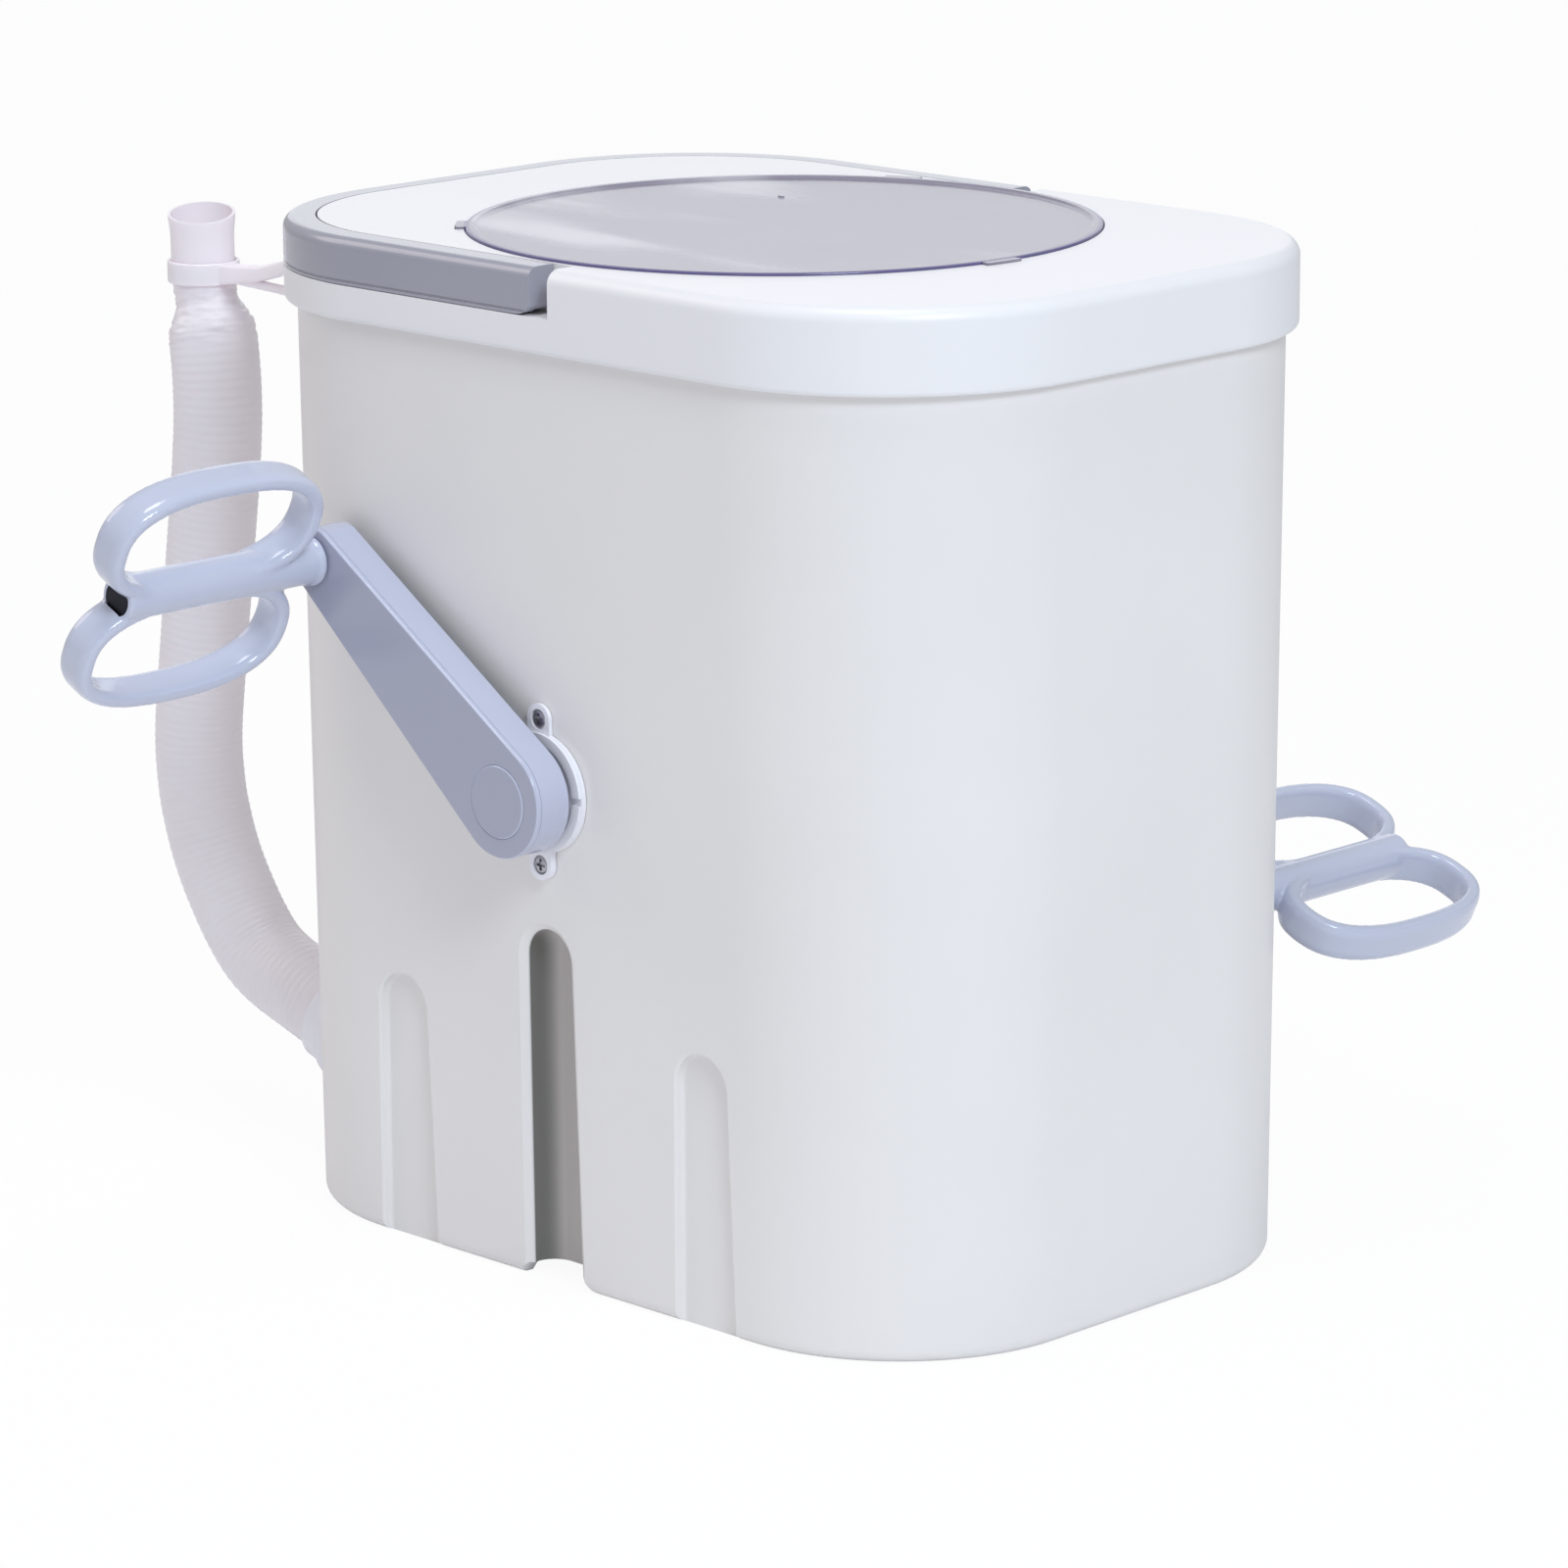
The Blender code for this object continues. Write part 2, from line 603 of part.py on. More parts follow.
# Deck
def make_deck():
    rings = [deck_ring(DECK_LOW, DECK_LIP_EDGE), deck_ring(DECK_LOW + DECK_LIP_EDGE / 3, DECK_LIP_EDGE / 3),
             deck_ring(DECK_LOW + DECK_LIP_EDGE)]
    rings += rounded_top(deck_ring, DECK_TOP, 0, DECK_EDGE)
    deck = loft("top_frame", rings, "deck_plastic")
    lip_top = DECK_LOW + LIP_HEIGHT
    plate_low = DECK_TOP - DECK_PLATE
    step_low = STEP_TOP - DECK_PLATE
    inner_edge = DECK_EDGE - DECK_WALL
    cut(deck, bucket_skin("cut_lip", DECK_LOW - OVERRUN, lip_top + GAP, -GAP))
    cut(deck, loft("cut_skirt_room", [deck_ring(lip_top, DECK_WALL), deck_ring(step_low, DECK_WALL)]))
    middle = loft("cut_middle_room", [deck_ring(lip_top, STEP_INSET + DECK_WALL),
                                      deck_ring(plate_low, STEP_INSET + DECK_WALL)])
    full = loft("cut_full_room", [deck_ring(lip_top, DECK_WALL)]
                + rounded_top(deck_ring, plate_low, DECK_WALL, inner_edge, 2))
    step_end = HANDLE_END + HANDLE_END_GAP
    cut(full, box("keep_step_side", (-DECK_LENGTH, -DECK_WIDTH, 0),
                  (step_end + DECK_WALL, DECK_WIDTH, DECK_TOP)))
    rim_radius = COVER_RADIUS + RUN + OPENING_RIM_WALL
    for room in (middle, full):
        cut(room, rod(f"keep_rim_{room.name}", rim_radius, DECK_TOP - OPENING_RIM_DEPTH, DECK_TOP,
                      steps=DISC_STEPS))
        cut(deck, room)
    step = box("cut_step", (-DECK_LENGTH, -DECK_WIDTH, STEP_TOP), (step_end, DECK_WIDTH, DECK_TOP + OVERRUN))
    cut(step, loft("keep_step", [deck_ring(STEP_TOP - OVERRUN, STEP_INSET),
                                 deck_ring(DECK_TOP + 2 * OVERRUN, STEP_INSET)]))
    cut(deck, step)
    cut(deck, rod("cut_cover_seat", COVER_RADIUS + RUN, COVER_SEAT, DECK_TOP + OVERRUN, steps=DISC_STEPS))
    cut(deck, rod("cut_opening", OPENING_RADIUS, DECK_LOW, DECK_TOP, steps=DISC_STEPS))
    cut(deck, tab_bodies("cut_tabs", RUN, DECK_TOP - TAB_THICKNESS, DECK_TOP + OVERRUN))
    for name, side in SIDES.items():
        wall = DECK_WIDTH / 2 - STEP_INSET
        cut(deck, rod(f"cut_pin_{name}", PIVOT_PIN_RADIUS + GAP, side * (wall - PIVOT_BITE - GAP),
                      side * (wall + OVERRUN / 2), "Y", (PIVOT_X, 0, PIVOT_Z), steps=SMALL_STEPS))


def tab_bodies(name, extra, low, high, finish=None):
    stacks = []
    inner = COVER_RADIUS - TAB_REACH
    outer = COVER_RADIUS + TAB_REACH + extra
    turn = math.degrees(extra / COVER_RADIUS)
    for angle, half in zip(TAB_ANGLES, TAB_HALF_ANGLES):
        outline = arc((0, 0), outer, angle - half - turn, angle + half + turn, 4)
        outline += arc((0, 0), inner, angle + half + turn, angle - half - turn, 4)
        stacks.append([[(x, y, height) for x, y in outline] for height in (low, high)])
    return lofts(name, stacks, finish)


def make_cover():
    under = COVER_TOP - COVER_THICKNESS
    lip_outer = OPENING_RADIUS - RUN
    lip_inner = lip_outer - COVER_LIP_WIDTH / 2
    profile = ((0, COVER_TOP), (COVER_RADIUS - COVER_THICKNESS / 4, COVER_TOP),
               (COVER_RADIUS, COVER_TOP - COVER_THICKNESS / 4), (COVER_RADIUS, under), (lip_outer, under),
               (lip_outer, under - COVER_LIP_DEPTH), (lip_inner, under - COVER_LIP_DEPTH), (lip_inner, under),
               (0, under))
    cover = turned("clear_cover", profile, finish="clear_plastic", steps=DISC_STEPS)
    fuse(cover, tab_bodies("add_tabs", 0, DECK_TOP - TAB_THICKNESS + GAP, DECK_TOP + TAB_RISE))
    seal_low = COVER_SEAT + GAP
    pipe("cover_seal", COVER_RADIUS - RUN, OPENING_RADIUS + RUN, seal_low, seal_low + SEAL_HEIGHT,
         finish="dark_rubber", steps=DISC_STEPS)


# Carry handle
def make_handle():
    rings = [deck_ring(HANDLE_LOW)] + rounded_top(deck_ring, DECK_TOP, 0, DECK_EDGE)
    handle = loft("carry_handle", rings, "grey_plastic")
    cut(handle, loft("cut_handle_middle", [deck_ring(HANDLE_LOW - OVERRUN, HANDLE_STRIP),
                                           deck_ring(DECK_TOP + OVERRUN, HANDLE_STRIP)]))
    cut(handle, loft("cut_handle_under", [deck_ring(HANDLE_LOW - OVERRUN, HANDLE_SKIRT),
                                          deck_ring(DECK_TOP - HANDLE_STRIP_THICKNESS, HANDLE_SKIRT)]))
    cut(handle, box("cut_handle_end", (HANDLE_END, -DECK_WIDTH, 0), (DECK_LENGTH, DECK_WIDTH, 2 * DECK_TOP)))
    corner = box("cut_handle_corner", (PIVOT_X, -DECK_WIDTH, 0), (DECK_LENGTH, DECK_WIDTH, PIVOT_Z))
    cut(corner, rod("keep_handle_corner", HANDLE_PIVOT_LIFT, -2 * DECK_WIDTH, 2 * DECK_WIDTH, "Y",
                    (PIVOT_X, 0, PIVOT_Z)))
    cut(handle, corner)
    skirt_inside = DECK_WIDTH / 2 - HANDLE_SKIRT
    step_wall = DECK_WIDTH / 2 - STEP_INSET
    for name, side in SIDES.items():
        pin_end = skirt_inside + HANDLE_SKIRT - PIVOT_BITE
        cut(handle, rod(f"cut_pivot_{name}", PIVOT_PIN_RADIUS + RUN, side * (step_wall - OVERRUN),
                        side * (pin_end + GAP), "Y", (PIVOT_X, 0, PIVOT_Z), steps=SMALL_STEPS))
        pin = ((0, step_wall - PIVOT_BITE), (PIVOT_PIN_RADIUS, step_wall - PIVOT_BITE),
               (PIVOT_PIN_RADIUS, step_wall + GAP), (PIVOT_COLLAR_RADIUS, step_wall + GAP),
               (PIVOT_COLLAR_RADIUS, skirt_inside - GAP), (PIVOT_PIN_RADIUS, skirt_inside - GAP),
               (PIVOT_PIN_RADIUS, pin_end), (0, pin_end))
        turned(f"handle_pivot_{name}", [(radius, side * place) for radius, place in pin], "Y",
               (PIVOT_X, 0, PIVOT_Z), "steel", SMALL_STEPS)
    set_origin(handle, (PIVOT_X, 0, PIVOT_Z))


# Crank shaft, bearings and their screws
def flange_face():
    """The plate's face, clear of the leaning wall at both ends of the ears."""
    ear_end = EAR_SPACING / 2 + EAR_RADIUS
    return max(wall_reach(SHAFT_HEIGHT + ear_end), wall_reach(SHAFT_HEIGHT - ear_end)) + FLANGE_PLATE


def ring_face():
    return flange_face() + FLANGE_RING_HEIGHT - FLANGE_PLATE


def arm_back():
    return ring_face() + ARM_OFFSET


def arm_face():
    return arm_back() + ARM_THICKNESS


def make_bearing(name, side):
    centre = (0, 0, SHAFT_HEIGHT)
    wall = wall_reach(SHAFT_HEIGHT) - BUCKET_WALL
    bore = BUSH_RADIUS + GAP
    profile = ((bore, wall), (bore, flange_face()), (FLANGE_RADIUS - FLANGE_RING_WALL, flange_face()),
               (FLANGE_RADIUS - FLANGE_RING_WALL, ring_face()), (FLANGE_RADIUS, ring_face()),
               (FLANGE_RADIUS, wall))
    flange = turned(f"bearing_flange_{name}", [(radius, side * place) for radius, place in profile], "Y",
                    centre, "white_plastic")
    for level, height in screw_heights().items():
        across = EAR_SPACING / 2
        outward = 1 if level == "upper" else -1
        ear = arc((0, outward * across), EAR_RADIUS, 90 - 90 * outward, 270 - 90 * outward, 8)
        root = outward * (BUSH_RADIUS + FLANGE_RING_WALL)
        ear += [(-EAR_RADIUS * outward, root), (EAR_RADIUS * outward, root)]
        fuse(flange, prism(f"add_ear_{name}_{level}", ear, "Y", side * wall, side * (flange_face() - GAP),
                           centre))
    cut(flange, bucket_skin(f"cut_flange_back_{name}", 0, BUCKET_HEIGHT, -GAP))
    notch = FLANGE_NOTCH / 2
    reach = sorted((side * flange_face(), side * (ring_face() + OVERRUN)))
    cut(flange, box(f"cut_flange_notch_{name}", (FLANGE_RADIUS - 2 * FLANGE_RING_WALL, reach[0],
                                                 SHAFT_HEIGHT - notch),
                    (FLANGE_RADIUS + OVERRUN, reach[1], SHAFT_HEIGHT + notch)))
    for level, height in screw_heights().items():
        make_flange_screw(flange, name, side, level, height)
    bush_end = wall - BUSH_INSIDE
    pipe(f"shaft_bush_{name}", BUSH_RADIUS, SHAFT_RADIUS + RUN, side * bush_end, side * flange_face(), "Y", centre,
         "bush_plastic")
    seal_end = bush_end - GAP
    pipe(f"shaft_seal_{name}", SEAL_RADIUS, SHAFT_RADIUS + RUN, side * (seal_end - SEAL_THICKNESS),
         side * seal_end, "Y", centre, "dark_rubber")


def make_flange_screw(flange, name, side, level, height):
    face = flange_face() - GAP
    head_low = face - FLANGE_SCREW_HEAD_HEIGHT
    head = ((0, head_low - FLANGE_SCREW_LENGTH), (FLANGE_SCREW_RADIUS, head_low - FLANGE_SCREW_LENGTH),
            (FLANGE_SCREW_RADIUS, head_low), (FLANGE_SCREW_HEAD, face), (0, face))
    seat = ((0, 0), (FLANGE_SCREW_RADIUS + GAP, 0), (FLANGE_SCREW_RADIUS + GAP, head_low),
            (FLANGE_SCREW_HEAD + GAP, face), (FLANGE_SCREW_HEAD + GAP, face + OVERRUN), (0, face + OVERRUN))
    centre = (0, 0, height)
    cut(flange, turned(f"cut_countersink_{name}_{level}", [(radius, side * place) for radius, place in seat],
                       "Y", centre, steps=SMALL_STEPS))
    screw = turned(f"flange_screw_{name}_{level}", [(radius, side * place) for radius, place in head], "Y",
                   centre, "steel", SMALL_STEPS)
    slot = FLANGE_SCREW_HEAD_HEIGHT / 4
    reach = sorted((side * (face - 2 * slot), side * (face + OVERRUN)))
    long = FLANGE_SCREW_HEAD * SLOT_LENGTH_SHARE
    cut(screw, box(f"cut_slot_{name}_{level}", (-long, reach[0], height - slot),
                   (long, reach[1], height + slot)))


def square_end():
    """Where the shaft's square ends, inside each arm's web."""
    return arm_face() - CAP_THICKNESS - CRANK_BOLT_HEAD_HEIGHT - BOLT_CAP_ROOM - ARM_RIB - GAP


def make_shaft():
    centre = (0, 0, SHAFT_HEIGHT)
    shaft = rod("crank_shaft", SHAFT_RADIUS, -arm_back() + GAP, arm_back() - GAP, "Y", centre, "steel")
    half = SHAFT_SQUARE / 2
    for name, side in SIDES.items():
        reach = sorted((side * (arm_back() - ARM_THICKNESS / 2), side * square_end()))
        fuse(shaft, box(f"add_square_{name}", (-half, reach[0], SHAFT_HEIGHT - half),
                        (half, reach[1], SHAFT_HEIGHT + half)))
        cut(shaft, rod(f"cut_bolt_hole_{name}", CRANK_BOLT_RADIUS + GAP,
                       side * (square_end() + OVERRUN), side * (square_end() - CRANK_BOLT_LENGTH), "Y", centre,
                       steps=SMALL_STEPS))
    set_origin(shaft, centre)


# Crank arms
def tapered_outline(inset, steps=8):
    """The arm's outline along its own length, wide round the hub and narrow round the tip."""
    lean = math.degrees(math.asin((ARM_RADIUS_HUB - ARM_RADIUS_TIP) / CRANK_THROW))
    points = arc((CRANK_THROW, 0), ARM_RADIUS_TIP - inset, lean - 90, 90 - lean, steps)
    return points + arc((0, 0), ARM_RADIUS_HUB - inset, 90 - lean, 270 + lean, steps + 4)


def on_arm(angle, along, across):
    """A place on an arm that points at an angle, as (x, z) from the shaft."""
    lean = math.radians(angle)
    return (along * math.cos(lean) - across * math.sin(lean), along * math.sin(lean) + across * math.cos(lean))


def arm_angle(side):
    return CRANK_ANGLE if side < 0 else CRANK_ANGLE + 180


def pedal_centre(side):
    x, z = on_arm(arm_angle(side), CRANK_THROW, 0)
    return (x, 0, SHAFT_HEIGHT + z)


def make_arm(name, side):
    centre = (0, 0, SHAFT_HEIGHT)
    angle = arm_angle(side)
    levels = ((arm_back(), 0), (arm_face() - ARM_EDGE, 0), (arm_face() - ARM_EDGE / 3, ARM_EDGE / 3),
              (arm_face(), ARM_EDGE))
    rings = []
    for place, inset in levels:
        outline = [on_arm(angle, along, across) for along, across in tapered_outline(inset)]
        rings.append([along_axis("Y", point, side * place, centre) for point in outline])
    arm = loft(f"crank_arm_{name}", rings, "blue_grey_plastic")
    start = ARM_RADIUS_HUB
    end = CRANK_THROW - ARM_RADIUS_TIP
    cell = (end - start - (ARM_RIBS - 1) * ARM_RIB) / ARM_RIBS
    slope = (ARM_RADIUS_HUB - ARM_RADIUS_TIP) / CRANK_THROW
    stacks = []
    for index in range(ARM_RIBS):
        near = start + index * (cell + ARM_RIB)
        far = near + cell
        near_half = ARM_RADIUS_HUB - slope * near - ARM_SHELL
        far_half = ARM_RADIUS_HUB - slope * far - ARM_SHELL
        corners = ((near, -near_half), (far, -far_half), (far, far_half), (near, near_half))
        outline = [on_arm(angle, along, across) for along, across in corners]
        stacks.append([[along_axis("Y", point, side * place, centre) for point in outline]
                       for place in (arm_back() - OVERRUN, arm_face() - ARM_SHELL)])
    cut(arm, lofts(f"cut_arm_back_{name}", stacks))
    half = SHAFT_SQUARE / 2 + GAP
    web = square_end() + GAP
    reach = sorted((side * (arm_back() - OVERRUN), side * web))
    cut(arm, box(f"cut_arm_square_{name}", (-half, reach[0], SHAFT_HEIGHT - half),
                 (half, reach[1], SHAFT_HEIGHT + half)))
    seat = arm_face() - CAP_THICKNESS
    head_low = web + ARM_RIB
    profile = ((0, web - ARM_RIB), (CRANK_BOLT_RADIUS + GAP, web - ARM_RIB), (CRANK_BOLT_RADIUS + GAP, head_low),
               (CRANK_BOLT_HEAD + RUN, head_low), (CRANK_BOLT_HEAD + RUN, seat), (CAP_RADIUS + GAP, seat),
               (CAP_RADIUS + GAP, arm_face() + OVERRUN), (0, arm_face() + OVERRUN))
    cut(arm, turned(f"cut_arm_bolt_{name}", [(radius, side * place) for radius, place in profile], "Y",
                    centre))
    tip = pedal_centre(side)
    thread_low = arm_face() - PEDAL_AXLE_THREAD
    cut(arm, rod(f"cut_arm_axle_{name}", PEDAL_AXLE_RADIUS + GAP, side * (thread_low - GAP),
                 side * (arm_face() + OVERRUN), "Y", tip, steps=PIPE_STEPS))
    set_origin(arm, centre)
    low = seat + GAP
    top = arm_face() + CAP_PROUD
    cap = ((0, low), (CAP_RADIUS, low), (CAP_RADIUS, top - CAP_PROUD), (CAP_RADIUS - CAP_PROUD, top), (0, top))
    piece = turned(f"crank_cap_{name}", [(radius, side * place) for radius, place in cap], "Y", centre,
                   "blue_grey_plastic")
    set_origin(piece, centre)
    head = head_low + GAP
    bolt = ((0, head - CRANK_BOLT_LENGTH + ARM_RIB), (CRANK_BOLT_RADIUS, head - CRANK_BOLT_LENGTH + ARM_RIB),
            (CRANK_BOLT_RADIUS, head), (CRANK_BOLT_HEAD, head),
            (CRANK_BOLT_HEAD, head + CRANK_BOLT_HEAD_HEIGHT), (0, head + CRANK_BOLT_HEAD_HEIGHT))
    piece = turned(f"crank_bolt_{name}", [(radius, side * place) for radius, place in bolt], "Y", centre,
                   "steel", 6)
    set_origin(piece, centre)


# Pedals
def loop_middle():
    return arm_face() + PEDAL_COLLAR_LENGTH + PEDAL_LOOP_HALF_LENGTH + PEDAL_BAND_THICKNESS / 2


def sleeve_end():
    return loop_middle() + PEDAL_LOOP_HALF_LENGTH + PEDAL_BAND_THICKNESS / 2 - PEDAL_SLEEVE_SHORT


def signed_power(value, power):
    return math.copysign(abs(value) ** power, value)


def pedal_loop(name, side, slant, offset):
    """One oval loop of crowned band, its long way along the pedal's axle."""
    half_band = PEDAL_BAND_WIDTH / 2
    half_thick = PEDAL_BAND_THICKNESS / 2
    section_shares = ((-1, -0.8), (-1, 0.8), (0.1, 1), (1, 0.45), (1, -0.45), (0.1, -1))
    power = 2 / PEDAL_SHAPE_POWER
    centre = pedal_centre(side)
    lean = math.radians(slant)
    sideways = Vector((math.cos(lean), 0, math.sin(lean)))
    outward = Vector((0, side, 0))
    facing = sideways.cross(outward)
    middle = Vector(centre) + outward * loop_middle() + sideways * offset
    points = []
    for step in range(PEDAL_LOOP_POINTS):
        turn = math.tau * (step + 0.5) / PEDAL_LOOP_POINTS
        along = PEDAL_LOOP_HALF_LENGTH * signed_power(math.cos(turn), power)
        across = PEDAL_LOOP_HALF_WIDTH * signed_power(math.sin(turn), power)
        steep_along = signed_power(math.cos(turn), 2 - power) / PEDAL_LOOP_HALF_LENGTH
        steep_across = signed_power(math.sin(turn), 2 - power) / PEDAL_LOOP_HALF_WIDTH
        normal = (outward * steep_along + sideways * steep_across).normalized()
        place = middle + outward * along + sideways * across
        for thick_share, band_share in section_shares:
            points.append(place + normal * (thick_share * half_thick) + facing * (band_share * half_band))
    count = len(section_shares)
    faces = []
    for step in range(PEDAL_LOOP_POINTS):
        here = step * count
        there = (step + 1) % PEDAL_LOOP_POINTS * count
        for corner in range(count):
            after = (corner + 1) % count
            faces.append((here + corner, here + after, there + after, there + corner))
    return solid(name, points, faces, None)


def make_pedal(name, side, slant):
    centre = pedal_centre(side)
    start = arm_face() + RUN
    neck = start + PEDAL_COLLAR_LENGTH
    end = sleeve_end()
    profile = ((0, start), (PEDAL_COLLAR_RADIUS, start),
               (PEDAL_COLLAR_RADIUS, start + PEDAL_COLLAR_LENGTH / 4),
               (PEDAL_SLEEVE_RADIUS, neck), (PEDAL_SLEEVE_RADIUS, end), (0, end))
    pedal = turned(f"pedal_{name}", [(radius, side * place) for radius, place in profile], "Y", centre,
                   "blue_grey_plastic", PIPE_STEPS)
    for level, share in (("upper", -0.5), ("lower", 0.5)):
        fuse(pedal, pedal_loop(f"add_loop_{name}_{level}", side, slant, share * PEDAL_LOOP_SPACING))
    head_room = PEDAL_AXLE_HEAD_HEIGHT + RUN
    bore = ((0, start - OVERRUN), (PEDAL_AXLE_RADIUS + RUN, start - OVERRUN),
            (PEDAL_AXLE_RADIUS + RUN, end - head_room), (PEDAL_AXLE_HEAD + RUN, end - head_room),
            (PEDAL_AXLE_HEAD + RUN, end + GAP), (0, end + GAP))
    cut(pedal, turned(f"cut_pedal_bore_{name}", [(radius, side * place) for radius, place in bore], "Y", centre,
                      steps=PIPE_STEPS))
    set_origin(pedal, centre)
    head = end - PEDAL_AXLE_HEAD_HEIGHT
    axle = ((0, arm_face() - PEDAL_AXLE_THREAD), (PEDAL_AXLE_RADIUS, arm_face() - PEDAL_AXLE_THREAD),
            (PEDAL_AXLE_RADIUS, head), (PEDAL_AXLE_HEAD, head), (PEDAL_AXLE_HEAD, end), (0, end))
    piece = turned(f"pedal_axle_{name}", [(radius, side * place) for radius, place in axle], "Y", centre,
                   "steel", PIPE_STEPS)
    set_origin(piece, (0, 0, SHAFT_HEIGHT))


# Bevel drive
def bevel_gear(name, axis, teeth, pitch_radius, apex_distance, bore, back, offset):
    """A straight bevel gear whose teeth narrow towards the point where the shafts' axes meet."""
    slant = math.hypot(pitch_radius, apex_distance)
    out = pitch_radius / slant
    up = apex_distance / slant
    points = []
    small_share = (slant - TOOTH_FACE) / slant

    def tooth_ring(scale):
        ring = []
        for tooth in range(teeth):
            for lean, height in ((-TOOTH_ROOT_SHARE, -TOOTH_DEDENDUM), (-TOOTH_TIP_SHARE, TOOTH_ADDENDUM),
                                 (TOOTH_TIP_SHARE, TOOTH_ADDENDUM), (TOOTH_ROOT_SHARE, -TOOTH_DEDENDUM)):
                angle = math.tau * (tooth + offset + lean / 2) / teeth
                radius = scale * (pitch_radius + height * up)
                ring.append((angle, radius, scale * (apex_distance - height * out)))
        return ring

    large = tooth_ring(1)
    small = tooth_ring(small_share)
    root_large = pitch_radius - TOOTH_DEDENDUM * up
    back_height = apex_distance + TOOTH_DEDENDUM * out + back
    front_height = small_share * (apex_distance + TOOTH_DEDENDUM * out)
    rings = [small, large, [(angle, root_large, back_height) for angle, _, _ in large],
             [(angle, bore, back_height) for angle, _, _ in large],
             [(angle, bore, front_height) for angle, _, _ in large]]
    for ring in rings:
        for angle, radius, height in ring:
            points.append(along_axis(axis, (radius * math.cos(angle), radius * math.sin(angle)), height,
                                     (0, 0, SHAFT_HEIGHT)))
    count = 4 * teeth
    faces = []
    for level in range(len(rings)):
        base = level * count
        other = (level + 1) % len(rings) * count
        for step in range(count):
            after = (step + 1) % count
            faces.append((base + step, base + after, other + after, other + step))
    return solid(name, points, faces, "gear_plastic")


def make_gears():
    # On the wheel a tooth points straight up to the mesh, on the pinion a gap faces it.
    wheel = bevel_gear("bevel_wheel", "Y", WHEEL_TEETH, WHEEL_PITCH_RADIUS, APEX_TO_WHEEL, SHAFT_RADIUS + GAP,
                       WHEEL_BACK, WHEEL_TEETH / 4)
    set_origin(wheel, (0, 0, SHAFT_HEIGHT))
    pinion = bevel_gear("bevel_pinion", "Z", PINION_TEETH, APEX_TO_WHEEL, APEX_TO_PINION, OUTPUT_RADIUS + GAP,
                        PINION_BACK, PINION_TEETH / 4 + 0.5)
    set_origin(pinion, (0, 0, SHAFT_HEIGHT))


